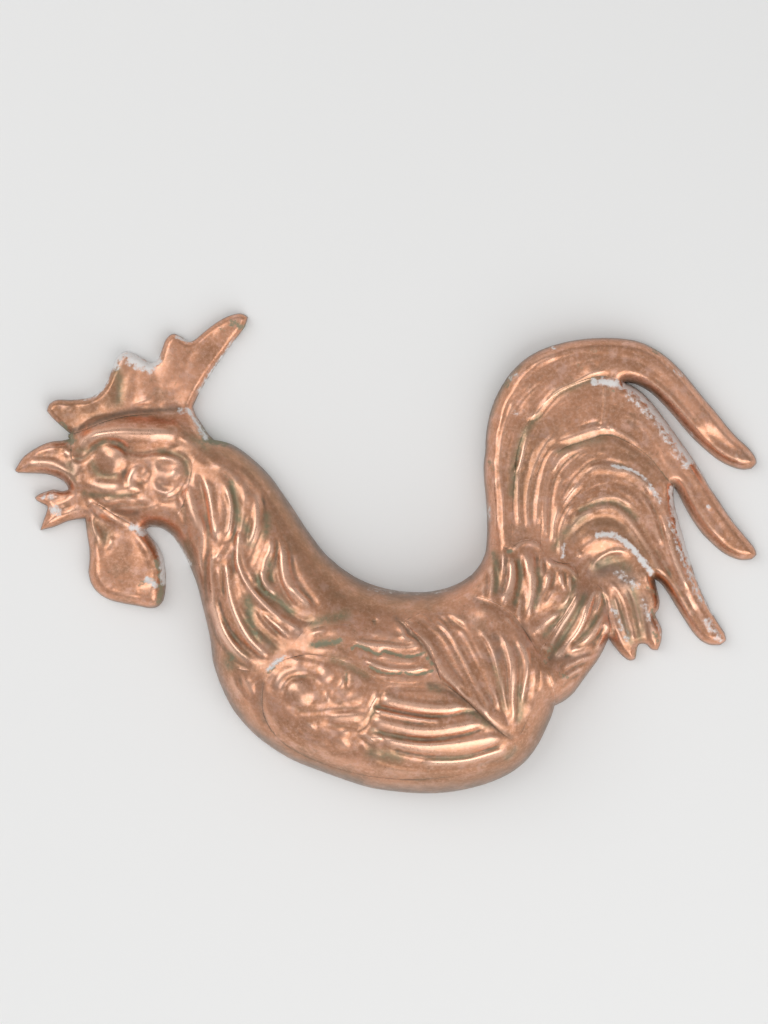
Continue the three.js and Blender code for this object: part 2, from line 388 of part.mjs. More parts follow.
// How far the point (x, y) lies from a straight piece from a to b, in x and in y.
function offsetToPiece(x, y, a, b) {
  const runX = b.x - a.x;
  const runY = b.y - a.y;
  const along = clamp(((x - a.x) * runX + (y - a.y) * runY) / (runX * runX + runY * runY));
  return [a.x + along * runX - x, a.y + along * runY - y];
}

function distanceToPath(x, y, path) {
  let least = Infinity;
  for (let i = 1; i < path.length; i += 1) {
    const [toX, toY] = offsetToPiece(x, y, path[i - 1], path[i]);
    least = Math.min(least, toX * toX + toY * toY);
  }
  return Math.sqrt(least);
}

const drawnCurve = (points) => new THREE.SplineCurve(points.map(([x, y]) => new THREE.Vector2(x, y)));
const finePath = (curve) => curve.getPoints((curve.points.length - 1) * finePieceCount);
const drawnRims = Object.values(rims).flatMap((points) => finePath(drawnCurve(points)));
const drawnSize = new THREE.Box2().setFromPoints(drawnRims).getSize(new THREE.Vector2());
const stretch = new THREE.Vector2(overallLength, overallWidth).divide(drawnSize);
const stretched = ([x, y]) => [x * stretch.x, y * stretch.y];
const curveThrough = (points) => drawnCurve(points.map(stretched));

const edgeCurves = {};
for (const [name, points] of Object.entries({ ...rims, ...joints })) {
  edgeCurves[name] = curveThrough(points);
}

const rimPaths = Object.keys(rims).map((name) => finePath(edgeCurves[name]));
const strokePaths = Object.values(strokes).map((stroke) => {
  return { ...stroke, path: finePath(curveThrough(stroke.path)) };
});
const placedStations = stations.map((station) => [...stretched(station), ...station.slice(2)]);

// Distance from (x, y) to the nearest rim, and the way to it. Between two rims that are about
// as near, their directions cancel out.
function lookToRim(x, y) {
  const found = [];
  let distance = Infinity;
  for (const path of rimPaths) {
    for (let i = 1; i < path.length; i += 1) {
      const [toX, toY] = offsetToPiece(x, y, path[i - 1], path[i]);
      const away = Math.sqrt(toX * toX + toY * toY);
      if (away < distance + rimBlend) {
        found.push([away, toX, toY]);
        distance = Math.min(distance, away);
      }
    }
  }
  const outward = new THREE.Vector2();
  let total = 0;
  for (const [away, toX, toY] of found) {
    const weight = clamp(1 - (away - distance) / rimBlend);
    if (weight > 0 && away > 0) {
      outward.x += (weight * toX) / away;
      outward.y += (weight * toY) / away;
      total += weight;
    }
  }
  if (total > 0) {
    outward.divideScalar(total);
  }
  return { distance, outward };
}

// Depth of the relief at a place, and how far in from a rim its sheet rolls over.
function depthAndRoll(x, y) {
  let total = 0;
  let depth = 0;
  let roll = 0;
  for (const [stationX, stationY, stationDepth, stationRoll, reach] of placedStations) {
    const weight = Math.exp(-((x - stationX) ** 2 + (y - stationY) ** 2) / reach ** 2);
    total += weight;
    depth += weight * stationDepth;
    roll += weight * stationRoll;
  }
  return { depth: depth / total, roll: roll / total };
}

function strokeHeight(x, y) {
  let height = 0;
  for (const stroke of strokePaths) {
    const away = distanceToPath(x, y, stroke.path) / stroke.width;
    if (away < 1) {
      height += stroke.height * (1 - away ** 2) ** 2;
    }
  }
  return height;
}

// The outer face of the sheet at (x, y): its height, and the unit direction that it faces.
// Behind a rim the sheet stands up and rolls over in a quarter of an ellipse.
function reliefAt(x, y, swell = 0, distanceToJoint = 0) {
  const { distance, outward } = lookToRim(x, y);
  const { depth, roll } = depthAndRoll(x, y);
  const share = clamp(distance / roll);
  const rise = Math.sqrt(1 - (1 - share) ** 2);
  const fade = smooth(distance / fadeBehindRim);
  const swelling = swell * (1 - Math.exp(-distanceToJoint / fadeBehindJoint));
  const height = depth * rise + fade * (strokeHeight(x, y) + swelling);
  const lean = outward.multiplyScalar(1 - share);
  return { height, facing: new THREE.Vector3(lean.x, lean.y, rise) };
}

// Corners of an edge: enough of them to keep to its curve, and on a joint to the height of the sheet.
const edgeCorners = {};
for (const [name, curve] of Object.entries(edgeCurves)) {
  const cornerAt = (along) => {
    const { x, y } = curve.getPoint(along);
    return { along, x, y, height: name in joints ? reliefAt(x, y).height : 0 };
  };
  const corners = [cornerAt(0)];
  const divide = (from, to) => {
    const middle = cornerAt((from.along + to.along) / 2);
    const reach = Math.hypot(to.x - from.x, to.y - from.y);
    const inPlan = Math.hypot(middle.x - (from.x + to.x) / 2, middle.y - (from.y + to.y) / 2);
    const inHeight = Math.abs(middle.height - (from.height + to.height) / 2);
    const strays = inPlan > outlineTolerance || inHeight > wallTolerance;
    if (reach > facetLength || (strays && reach > shortestEdge)) {
      divide(from, middle);
      divide(middle, to);
    } else {
      corners.push(to);
    }
  };
  divide(corners[0], cornerAt(1));
  edgeCorners[name] = corners;
}

const signedArea = (a, b, c) => ((b.x - a.x) * (c.y - a.y) - (c.x - a.x) * (b.y - a.y)) / 2;

// The corners of some edges that follow each other, each turned to start where the last one ended.
function chainOf(names) {
  const chain = names.map((name) => [...edgeCorners[name]]);
  const apart = (a, b) => Math.hypot(a.x - b.x, a.y - b.y);
  const toEdge = (corner, corners) => Math.min(apart(corner, corners[0]), apart(corner, corners.at(-1)));
  if (chain.length > 1 && toEdge(chain[0].at(-1), chain[1]) > toEdge(chain[0][0], chain[1])) {
    chain[0].reverse();
  }
  for (let i = 1; i < chain.length; i += 1) {
    const last = chain[i - 1].at(-1);
    if (apart(last, chain[i][0]) > apart(last, chain[i].at(-1))) {
      chain[i].reverse();
    }
  }
  return chain;
}

// The corners round a section, anticlockwise. Each knows whether the sides before and after it
// are joints.
function outlineOf(edges) {
  const chain = chainOf(edges);
  const outline = [];
  chain.forEach((corners, i) => {
    const joined = edges[i] in joints;
    const joinedBefore = edges.at(i - 1) in joints;
    corners.slice(0, -1).forEach((corner, k) => {
      outline.push({ ...corner, before: k === 0 ? joinedBefore : joined, after: joined });
    });
  });
  const origin = outline[0];
  const area = outline.reduce((sum, corner, i) => {
    return sum + signedArea(origin, corner, outline[(i + 1) % outline.length]);
  }, 0);
  if (area < 0) {
    outline.reverse();
    for (const corner of outline) {
      [corner.before, corner.after] = [corner.after, corner.before];
    }
  }
  return outline;
}

// Moves a corner of an anticlockwise outline in, by one distance from the side before it and by
// another from the side after it.
function moveIn(before, corner, after, fromBefore, fromAfter) {
  const first = new THREE.Vector2(before.y - corner.y, corner.x - before.x).normalize();
  const second = new THREE.Vector2(corner.y - after.y, after.x - corner.x).normalize();
  const cross = first.x * second.y - first.y * second.x;
  if (Math.abs(cross) < straightCorner) {
    const between = first.add(second).normalize().multiplyScalar(Math.max(fromBefore, fromAfter));
    return new THREE.Vector2(corner.x + between.x, corner.y + between.y);
  }
  const move = new THREE.Vector2(
    (fromBefore * second.y - fromAfter * first.y) / cross,
    (fromAfter * first.x - fromBefore * second.x) / cross,
  );
  move.clampLength(0, mitreRatio * Math.max(fromBefore, fromAfter));
  return new THREE.Vector2(corner.x + move.x, corner.y + move.y);
}

function isInside(x, y, outline) {
  let inside = false;
  outline.forEach((a, i) => {
    const b = outline[(i + 1) % outline.length];
    if (a.y > y !== b.y > y && x < a.x + ((y - a.y) / (b.y - a.y)) * (b.x - a.x)) {
      inside = !inside;
    }
  });
  return inside;
}

// Triangles over an outline. Each side of a triangle, in its turning direction, is kept with the
// corner that faces it, and a side is turned to the other diagonal where that makes the
// triangles less narrow.
class Facets {
  constructor(outline) {
    this.corners = [...outline];
    this.facing = new Map();
    const contour = outline.map(({ x, y }) => new THREE.Vector2(x, y));
    for (const [a, b, c] of THREE.ShapeUtils.triangulateShape(contour, [])) {
      if (signedArea(contour[a], contour[b], contour[c]) > 0) {
        this.add(a, b, c);
      } else {
        this.add(a, c, b);
      }
    }
    for (const side of [...this.facing.keys()]) {
      this.settle(Math.floor(side / sideKey), side % sideKey);
    }
  }

  add(a, b, c) {
    this.facing.set(a * sideKey + b, c);
    this.facing.set(b * sideKey + c, a);
    this.facing.set(c * sideKey + a, b);
  }

  remove(a, b, c) {
    this.facing.delete(a * sideKey + b);
    this.facing.delete(b * sideKey + c);
    this.facing.delete(c * sideKey + a);
  }

  // Turns the side from a to b if the corner beyond it lies in the circle round the triangle.
  settle(a, b) {
    const c = this.facing.get(a * sideKey + b);
    const d = this.facing.get(b * sideKey + a);
    if (c === undefined || d === undefined || !this.inCircle(a, b, c, d)) {
      return;
    }
    this.remove(a, b, c);
    this.remove(b, a, d);
    this.add(a, d, c);
    this.add(d, b, c);
    for (const [from, to] of [[a, d], [d, b], [b, c], [c, a]]) {
      this.settle(from, to);
    }
  }

  inCircle(a, b, c, d) {
    const [p, q, r] = [a, b, c].map((i) => {
      const x = this.corners[i].x - this.corners[d].x;
      const y = this.corners[i].y - this.corners[d].y;
      return new THREE.Vector3(x, y, x * x + y * y);
    });
    return p.dot(q.cross(r)) > leastArea;
  }

  // The triangle that holds a place well inside it.
  around(place) {
    for (const [side, c] of this.facing) {
      const a = Math.floor(side / sideKey);
      const b = side % sideKey;
      if (a < b && a < c && signedArea(this.corners[a], this.corners[b], place) > leastArea) {
        const second = signedArea(this.corners[b], this.corners[c], place);
        const third = signedArea(this.corners[c], this.corners[a], place);
        if (Math.min(second, third) > leastArea) {
          return [a, b, c];
        }
      }
    }
    return null;
  }

  insert(place) {
    const triangle = this.around(place);
    if (triangle) {
      const [a, b, c] = triangle;
      const added = this.corners.length;
      this.corners.push(place);
      this.remove(a, b, c);
      for (const [from, to] of [[a, b], [b, c], [c, a]]) {
        this.add(from, to, added);
      }
      for (const [from, to] of [[a, b], [b, c], [c, a]]) {
        this.settle(from, to);
      }
    }
  }

  list() {
    const sides = [...this.facing].map(([side, c]) => [Math.floor(side / sideKey), side % sideKey, c]);
    return sides.filter(([a, b, c]) => a < b && a < c);
  }
}

// Places for corners inside an outline: rows up the wall behind a rim, then places along the
// strokes and beside them, then an even lattice over what is left.
function innerPlaces(outline) {
  const closed = [...outline, outline[0]];
  const jointPieces = closed.slice(1).map((to, i) => [closed[i], to]).filter(([from]) => from.after);
  const places = [];
  const clearOf = (x, y, taken, gap) => taken.every((other) => Math.hypot(other.x - x, other.y - y) > gap);
  const clearOfJoints = (x, y) => jointPieces.every((piece) => distanceToPath(x, y, piece) > shortestFacet);

  outline.forEach((corner, i) => {
    if (corner.before || corner.after) {
      return;
    }
    const before = outline.at(i - 1);
    const after = outline[(i + 1) % outline.length];
    const { roll } = depthAndRoll(corner.x, corner.y);
    const column = [];
    for (const inset of wallInsets) {
      const distance = inset * roll;
      const inward = moveIn(before, corner, after, 1, 1).sub(corner).normalize();
      const x = corner.x + inward.x * distance;
      const y = corner.y + inward.y * distance;
      const nearRim = lookToRim(x, y).distance;
      const open = nearRim > wallRowShare * distance && clearOfJoints(x, y);
      const gap = Math.min(shortestFacet, rowSpread * distance + shortestEdge);
      if (open && isInside(x, y, outline) && clearOf(x, y, places, gap)) {
        column.push({ x, y });
      }
    }
    places.push(...column);
  });

  const take = (x, y, gap) => {
    const open = isInside(x, y, outline) && distanceToPath(x, y, closed) > gap * edgeGapShare;
    if (open && clearOf(x, y, places, gap)) {
      places.push({ x, y });
    }
  };
  for (const { path, width } of strokePaths) {
    const curve = new THREE.SplineCurve(path);
    const steps = Math.ceil(curve.getLength() / facetLength);
    for (const side of [0, 1, -1]) {
      for (let k = 0; k <= steps; k += 1) {
        const middle = curve.getPointAt(k / steps);
        const way = curve.getTangentAt(k / steps);
        const aside = side * width * flankShare;
        take(middle.x - way.y * aside, middle.y + way.x * aside, facetLength * strokeGapShare);
      }
    }
  }

  const xs = outline.map(({ x }) => x);
  const ys = outline.map(({ y }) => y);
  const rowHeight = facetLength * Math.sqrt(0.75);
  for (let row = Math.floor(Math.min(...ys) / rowHeight); row * rowHeight < Math.max(...ys); row += 1) {
    const shift = row % 2 === 0 ? 0 : 0.5;
    const first = Math.floor(Math.min(...xs) / facetLength);
    for (let column = first; column * facetLength < Math.max(...xs); column += 1) {
      take((column + shift) * facetLength, row * rowHeight, facetLength * latticeGapShare);
    }
  }
  return places;
}

function solidFrom(positions, triangles) {
  const geometry = new THREE.BufferGeometry();
  geometry.setAttribute('position', new THREE.Float32BufferAttribute(positions.flat(), 3));
  geometry.setIndex(triangles.flat());
  geometry.computeVertexNormals();
  return geometry;
}

// One section: its outer face, its inner face a sheet's thickness behind it, and the cut edge
// between them. On the rim both faces end on the rim plane.
const innerFaces = [];
function buildSection({ edges, swell = 0 }) {
  const outline = outlineOf(edges);
  const facets = new Facets(outline);
  for (const place of innerPlaces(outline)) {
    facets.insert(place);
  }
  const jointPieces = outline
    .map((corner, i) => [corner, outline[(i + 1) % outline.length]])
    .filter(([corner]) => corner.after);
  const outer = [];
  const inner = [];
  facets.corners.forEach((corner, i) => {
    const onOutline = i < outline.length;
    const { x, y } = corner;
    const toJoints = jointPieces.map((piece) => distanceToPath(x, y, piece));
    const { height, facing } = reliefAt(x, y, swell, onOutline ? 0 : Math.min(...toJoints));
    let place = new THREE.Vector2(x, y);
    if (onOutline) {
      const before = outline.at(i - 1);
      const after = outline[(i + 1) % outline.length];
      const fromBefore = corner.before ? jointGap / 2 : 0;
      const fromAfter = corner.after ? jointGap / 2 : 0;
      place = moveIn(before, corner, after, fromBefore, fromAfter);
      if (!corner.before || !corner.after) {
        const behind = moveIn(
          before, corner, after, corner.before ? fromBefore : sheet, corner.after ? fromAfter : sheet,
        );
        outer.push([place.x, place.y, 0]);
        inner.push([behind.x, behind.y, 0]);
        return;
      }
    }
    outer.push([place.x, place.y, height]);
    inner.push([
      place.x - sheet * facing.x,
      place.y - sheet * facing.y,
      height - sheet * facing.z,
    ]);
  });

  const count = outer.length;
  const triangles = [];
  for (const [a, b, c] of facets.list()) {
    triangles.push([a, b, c], [count + a, count + c, count + b]);
    innerFaces.push([a, b, c].map((i) => new THREE.Vector3(...inner[i])));
  }
  outline.forEach((_, i) => {
    const next = (i + 1) % outline.length;
    triangles.push([next, i, count + i], [next, count + i, count + next]);
  });
  return solidFrom([...outer, ...inner], triangles);
}

// Height of the copper's underside over a place, or null between sections.
function undersideAt(x, y) {
  const place = { x, y };
  for (const [a, b, c] of innerFaces) {
    const parts = [signedArea(b, c, place), signedArea(c, a, place), signedArea(a, b, place)];
    if (Math.min(...parts) >= 0) {
      const whole = parts[0] + parts[1] + parts[2];
      return (parts[0] * a.z + parts[1] * b.z + parts[2] * c.z) / whole;
    }
  }
  return null;
}

// One run of solder under the joints that it closes. It keeps below the sheet all across, looked
// at in quarter steps, and thins to a narrower foot.
const quarters = [-1, -0.75, -0.5, -0.25, 0, 0.25, 0.5, 0.75, 1];
const solderLines = [];
function buildSolderRun(names) {
  const line = new THREE.CurvePath();
  for (const corners of chainOf(names)) {
    corners.slice(1).forEach((to, i) => {
      const from = corners[i];
      line.add(new THREE.LineCurve(new THREE.Vector2(from.x, from.y), new THREE.Vector2(to.x, to.y)));
    });
  }
  const length = line.getLength();
  const lookAt = (along) => ({
    middle: line.getPointAt(clamp(along / length)),
    way: line.getTangentAt(clamp(along / length)),
  });
  const isCrowded = (along) => {
    const { x, y } = lookAt(along).middle;
    const nearRun = Math.min(...solderLines.map((other) => distanceToPath(x, y, other)));
    return lookToRim(x, y).distance < solderEndMargin || nearRun < solderWidth + solderEndGap;
  };
  let start = 0;
  while (isCrowded(start) && start < length / 2) {
    start += solderEndStep;
  }
  let end = length;
  while (isCrowded(end) && end > length / 2) {
    end -= solderEndStep;
  }
  solderLines.push(line.getSpacedPoints(Math.ceil(length)));
  const steps = Math.ceil((end - start) / solderStep);
  const placeAt = (step) => lookAt(start + (step / steps) * (end - start));
  const ceilingAt = (step, aside) => {
    let least = Infinity;
    for (const shift of quarters) {
      const { middle, way } = placeAt(Math.min(steps, Math.max(0, step + shift)));
      const found = undersideAt(middle.x - way.y * aside, middle.y + way.x * aside);
      least = Math.min(least, found ?? Infinity);
    }
    return least - solderClearance;
  };
  const positions = [];
  for (let step = 0; step <= steps; step += 1) {
    const { middle, way } = placeAt(step);
    const half = solderWidth / 2;
    let left = ceilingAt(step, half);
    let right = ceilingAt(step, -half);
    for (const share of quarters) {
      const level = (left + right) / 2 + ((left - right) * share) / 2;
      const over = Math.max(0, level - ceilingAt(step, half * share));
      left -= over;
      right -= over;
    }
    const foot = solderFootShare;
    for (const [share, drop] of [[1, 0], [-1, 0], [-foot, solderThickness], [foot, solderThickness]]) {
      const height = (left + right) / 2 + ((left - right) * share) / 2 - drop;
      positions.push([middle.x - way.y * half * share, middle.y + way.x * half * share, height]);
    }
  }
  const triangles = [[0, 2, 1], [0, 3, 2]];
  const sides = positions.length / (steps + 1);
  for (let step = 0; step < steps; step += 1) {
    for (let side = 0; side < sides; side += 1) {
      const a = step * sides + side;
      const b = step * sides + ((side + 1) % sides);
      triangles.push([a, b, b + sides], [a, b + sides, a + sides]);
    }
  }
  const last = steps * sides;
  triangles.push([last, last + 1, last + 2], [last, last + 2, last + 3]);
  return solidFrom(positions, triangles);
}

const group = new THREE.Group();
for (const [name, section] of Object.entries(sections)) {
  const mesh = new THREE.Mesh(buildSection(section), new THREE.MeshStandardMaterial(section.finish));
  mesh.name = name;
  group.add(mesh);
}
for (const [name, names] of Object.entries(solderRuns)) {
  const mesh = new THREE.Mesh(buildSolderRun(names), new THREE.MeshStandardMaterial(oldSolder));
  mesh.name = name;
  group.add(mesh);
}

export default group;
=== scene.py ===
import math

import bmesh
import bpy
import numpy as np
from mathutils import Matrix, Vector
from mathutils.geometry import delaunay_2d_cdt


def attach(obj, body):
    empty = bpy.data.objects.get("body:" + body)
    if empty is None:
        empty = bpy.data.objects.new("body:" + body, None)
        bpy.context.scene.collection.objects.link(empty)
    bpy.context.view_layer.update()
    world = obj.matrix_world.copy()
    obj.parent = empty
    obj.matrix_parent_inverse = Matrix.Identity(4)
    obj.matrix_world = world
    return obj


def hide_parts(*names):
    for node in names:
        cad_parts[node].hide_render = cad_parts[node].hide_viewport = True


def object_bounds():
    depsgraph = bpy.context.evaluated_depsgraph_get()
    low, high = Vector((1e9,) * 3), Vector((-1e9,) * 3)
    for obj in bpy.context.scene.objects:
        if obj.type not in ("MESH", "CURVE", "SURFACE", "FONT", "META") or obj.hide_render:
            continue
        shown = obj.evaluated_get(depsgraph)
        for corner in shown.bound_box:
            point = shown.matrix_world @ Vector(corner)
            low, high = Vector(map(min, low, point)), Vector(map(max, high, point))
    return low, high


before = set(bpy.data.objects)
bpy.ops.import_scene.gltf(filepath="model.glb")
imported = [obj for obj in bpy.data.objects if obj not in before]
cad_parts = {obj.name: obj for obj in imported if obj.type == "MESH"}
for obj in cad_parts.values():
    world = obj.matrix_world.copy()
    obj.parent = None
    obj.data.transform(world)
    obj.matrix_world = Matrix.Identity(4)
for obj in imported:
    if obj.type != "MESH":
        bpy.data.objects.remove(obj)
cadLow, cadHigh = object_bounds()
mouldLength = 370.7
mm = (cadHigh.x - cadLow.x) / mouldLength  # every length below is in millimetres of this mould
scene = bpy.context.scene
print("frame loaded")

# The camera looks straight down. One pixel of the 768 by 1024 picture is half a millimetre.
cameraSetup = dict(height=3.0, pixel=0.5, centre=(-1.0, 20.75), sensor=36.0, pixelsHigh=1024, clipEnd=50)


def makeCamera(setup):
    data = bpy.data.cameras.new("camera")
    camera = bpy.data.objects.new("camera", data)
    scene.collection.objects.link(camera)
    data.sensor_width = setup["sensor"]
    data.lens = setup["sensor"] * setup["height"] / (setup["pixel"] * mm * setup["pixelsHigh"])
    data.clip_end = setup["clipEnd"]
    camera.location = (setup["centre"][0] * mm, setup["centre"][1] * mm, setup["height"])
    scene.camera = camera


makeCamera(cameraSetup)

# The sheet, and how its relief dies out towards a rim or a seam
sheet = dict(thickness=0.9, seam=0.02, rimFade=4.0, seamFade=3.0, rimBlend=1.5)

# The strokes of the chasing. Each kind scales the heights and widths in the tables of the pieces.
strokeKinds = dict(
    ridges=dict(height=0.9, width=1.2), grooves=dict(height=-0.75, width=1.25),
    laps=dict(height=1.0, width=1.0),
)
chasing = dict(
    softness=0.95, lean=0.28, leanWay=(0.6, -0.8), ridgeFullness=0.65, grooveSharpness=1.6, lapEdge=1.6,
    endHeight=0.15, endWidth=0.45, taper=2.2, longestTaper=0.45, shortest=1.5,
)
barbs = dict(
    guideSteps=9, points=7, shift=0.3, lateStart=0.25, earlyEnd=0.3, sway=0.35,
    depth=(0.5, 1.2), width=(0.8, 1.3),
)

# The mesh: its pitch, the rows up a wall, the extra corners at the ends of a joint, and how much
# room the rows and the lattice leave
fineness = dict(
    pitch=0.6, wallRows=(0.03, 0.12, 0.27, 0.5, 0.8, 1.2, 1.7, 2.3, 3.0),
    endSteps=(0.03, 0.12, 0.27), rowToRim=0.93, rowToJoint=0.4, gridToRow=0.45, gridToJoint=0.55,
    flatCorner=0.3, cornerReach=3, closest=1e-6,
)
spanSteps = dict(edge=12, rim=4, stroke=6, mark=4)
pointsAtOnce = 400
farAway = 1e3
tiny = 1e-9

# Over how far the hollows and ridges are told apart that the copper's colour follows
formReach = dict(smallForm=0.95, wideForm=3.0)

# Depth of each form over the rim plane
depths = dict(
    body=40, breast=36, rump=34, back=33, neck=28, head=19, beak=8, beakTip=5, chin=6.5,
    comb=8.5, wattle=10, tailRoot=22, tail=14, tailTip=8, plume=14, plumeTip=7,
)

# Free edges of the sections. They end on the rim plane.
rims = dict(
    combFront=[(-158, 60), (-163, 64.3), (-167, 68), (-169.6, 71.3)],
    combTop=[
        (-169.6, 71.3), (-168.3, 74.6), (-164.5, 76.8), (-157, 76.8), (-149, 77.8), (-143.5, 80.5),
        (-139.5, 85.5), (-137, 92), (-134.8, 97.3), (-131, 100.8), (-126.5, 100.3), (-121.5, 97.6),
        (-117.3, 95.4), (-114, 97.3), (-112, 102), (-110.2, 106.8), (-106.8, 109.8), (-103, 108.8),
        (-99.5, 106.3), (-96, 106.6), (-91, 110.7), (-85, 115.3), (-78.5, 118.8), (-72.5, 120), (-69, 118.2),
    ],
    combRear=[(-96.5, 73.5), (-92.8, 81.3), (-88, 89), (-82, 98), (-76, 106), (-70.8, 113), (-69, 118.2)],
    headRear=[(-96.5, 73.5), (-95.3, 70), (-92.5, 65.3), (-89, 60), (-86, 56.8)],
    headFront=[(-158.3, 57.3), (-159, 58.7), (-158, 60)],
    throatNotch=[(-118, 13.2), (-119.2, 12.7), (-120, 11.7)],
    beakRidge=[
        (-158.3, 57.3), (-162, 56.5), (-167, 56), (-172, 54.3), (-177, 51.5), (-181.5, 48), (-184.8, 43),
    ],
    beakTip=[(-184.8, 43), (-185.4, 41.4), (-184, 40.4)],
    beakGape=[
        (-158.8, 32), (-159.6, 34.2), (-162, 36.6), (-166, 38.6), (-171, 39.8), (-177, 40.1), (-184, 40.4),
    ],
    tongueTop=[(-158.8, 32), (-162, 31.2), (-166, 32), (-170, 31), (-173.5, 29.6), (-175.5, 28)],
    beakFork=[
        (-175.5, 28), (-174.6, 26.5), (-171.5, 24.8), (-169.3, 23.4), (-169.8, 20.5), (-171.3, 16.5),
        (-172.8, 11.6),
    ],
    chin=[(-150.4, 17.4), (-155, 17), (-160, 15.8), (-166, 13.3), (-172.8, 11.6)],
    wattleFront=[(-150.4, 17.4), (-149.5, 10), (-148.4, 3), (-148.2, -3), (-148.8, -9)],
    wattleFoot=[
        (-148.8, -9), (-147.6, -14.5), (-144.3, -19.3), (-139, -22.8), (-132, -24.8), (-124, -26.2),
        (-118, -27.3), (-113.8, -26.4), (-111.3, -23.5),
    ],
    wattleBack=[
        (-120, 11.7), (-117, 8), (-114, 4), (-111.6, -1), (-110.3, -7), (-110, -14), (-110.4, -19.5),
        (-111.3, -23.5),
    ],
    throat=[
        (-118, 13.2), (-112.5, 12.6), (-107, 9), (-103, 3.5), (-99.5, -3), (-96.5, -10), (-94, -17),
        (-92, -25), (-90, -33), (-88, -42), (-86.6, -53.5),
    ],
    nape=[
        (-86, 56.8), (-82, 56.1), (-77, 54.5), (-72, 51.5), (-67, 47.5), (-62, 43), (-57, 37.5), (-52, 30.5),
        (-46.5, 22.5), (-41, 14), (-36, 7), (-30, -0.5), (-22, -7.5),
    ],
    backEdge=[
        (-22, -7.5), (-14, -12.5), (-5, -16.2), (5, -18.5), (14, -19.3), (22, -19), (30, -17.3),
        (37, -14.5), (43, -10.5),
    ],
    rootEdge=[(43, -10.5), (47, -5.5), (49.5, 0), (50.2, 4)],
    bodyEdge=[
        (-86.6, -53.5), (-84.4, -61), (-80.5, -70.5), (-75, -80), (-66, -90), (-57, -97), (-46, -103.5),
        (-33, -108.6), (-20, -113.3), (-8, -117), (4, -118.8), (16, -119.8), (28, -119.6), (40, -117.8),
        (52, -114.4), (62, -109.8), (70, -103.5), (76, -95.5), (80.5, -86.5), (83, -80.5), (84.3, -76),
    ],
    fluffEdge=[
        (84.3, -76), (88.5, -74), (93.5, -70), (98, -64), (102, -58.5), (106, -53), (109, -47.5),
        (111.3, -42.5),
    ],
    plumeBlades=[
        (111.3, -42.5), (114.5, -47), (118, -51), (121.5, -53.4), (124.6, -52.6), (125.4, -48.5),
        (126.6, -45.4), (130, -45.4), (132.8, -48), (135.8, -48.3),
    ],
    plumeEdge=[
        (134.3, -12.8), (135.8, -19), (136.8, -24), (136.2, -28), (134.6, -30.6), (136.2, -34),
        (138, -38.5), (137.4, -44.5), (135.8, -48.3),
    ],
    outerSickleBack=[
        (50.2, 4), (50.6, 12), (50.4, 20), (49.9, 28), (49.1, 36), (48.8, 44), (49.6, 51), (50, 59),
        (51.5, 68), (54, 76), (58, 84), (63, 91), (70, 97.5), (78, 102), (87, 105), (97, 107),
        (108, 107.8), (118, 107.4), (126, 106), (133, 103), (140, 98.5), (147, 92), (153, 85), (159, 77.5),
        (165, 70.5), (171, 63), (176, 57.5), (181, 53), (184.4, 48.6),
    ],
    outerSickleTip=[(184.4, 48.6), (185.2, 45.2), (182.6, 42.4)],
    outerSickleFront=[
        (119.5, 85.3), (124, 84.8), (129, 82.6), (134, 79), (139, 74), (144, 68.5), (149, 62.5),
        (154, 57), (160, 51.5), (166, 46.8), (172, 43.6), (178, 41.9), (182.6, 42.4),
    ],
    middleSickleBack=[
        (119.5, 85.3), (124, 83.2), (128.5, 80), (133, 75.3), (138, 69), (143, 62), (148, 55),
        (153, 48), (158, 40), (162, 33), (166, 27), (170, 21), (175, 14), (180, 8), (184, 3.2),
    ],
    middleSickleTip=[(184, 3.2), (185.2, -0.4), (182.8, -2.9)],
    middleSickleFront=[
        (144, 33), (146, 30), (149, 24), (153, 17), (158, 10), (163, 5), (168, 0.7), (173, -2),
        (178, -3.3), (182.8, -2.9),
    ],
    innerSickleBack=[
        (144, 33), (143.8, 28), (144.8, 22), (147, 14), (149.5, 5), (152.5, -5), (156, -15), (160, -24),
        (165, -33), (169.2, -39.6),
    ],
    innerSickleTip=[(169.2, -39.6), (170, -43.4), (167, -45.8)],
    innerSickleFront=[
        (134.3, -12.8), (137.5, -15.2), (141, -20), (145, -26.5), (149.5, -33.5), (153.5, -39.5),
        (157.5, -43.6), (162, -45.7), (167, -45.8),
    ],
)

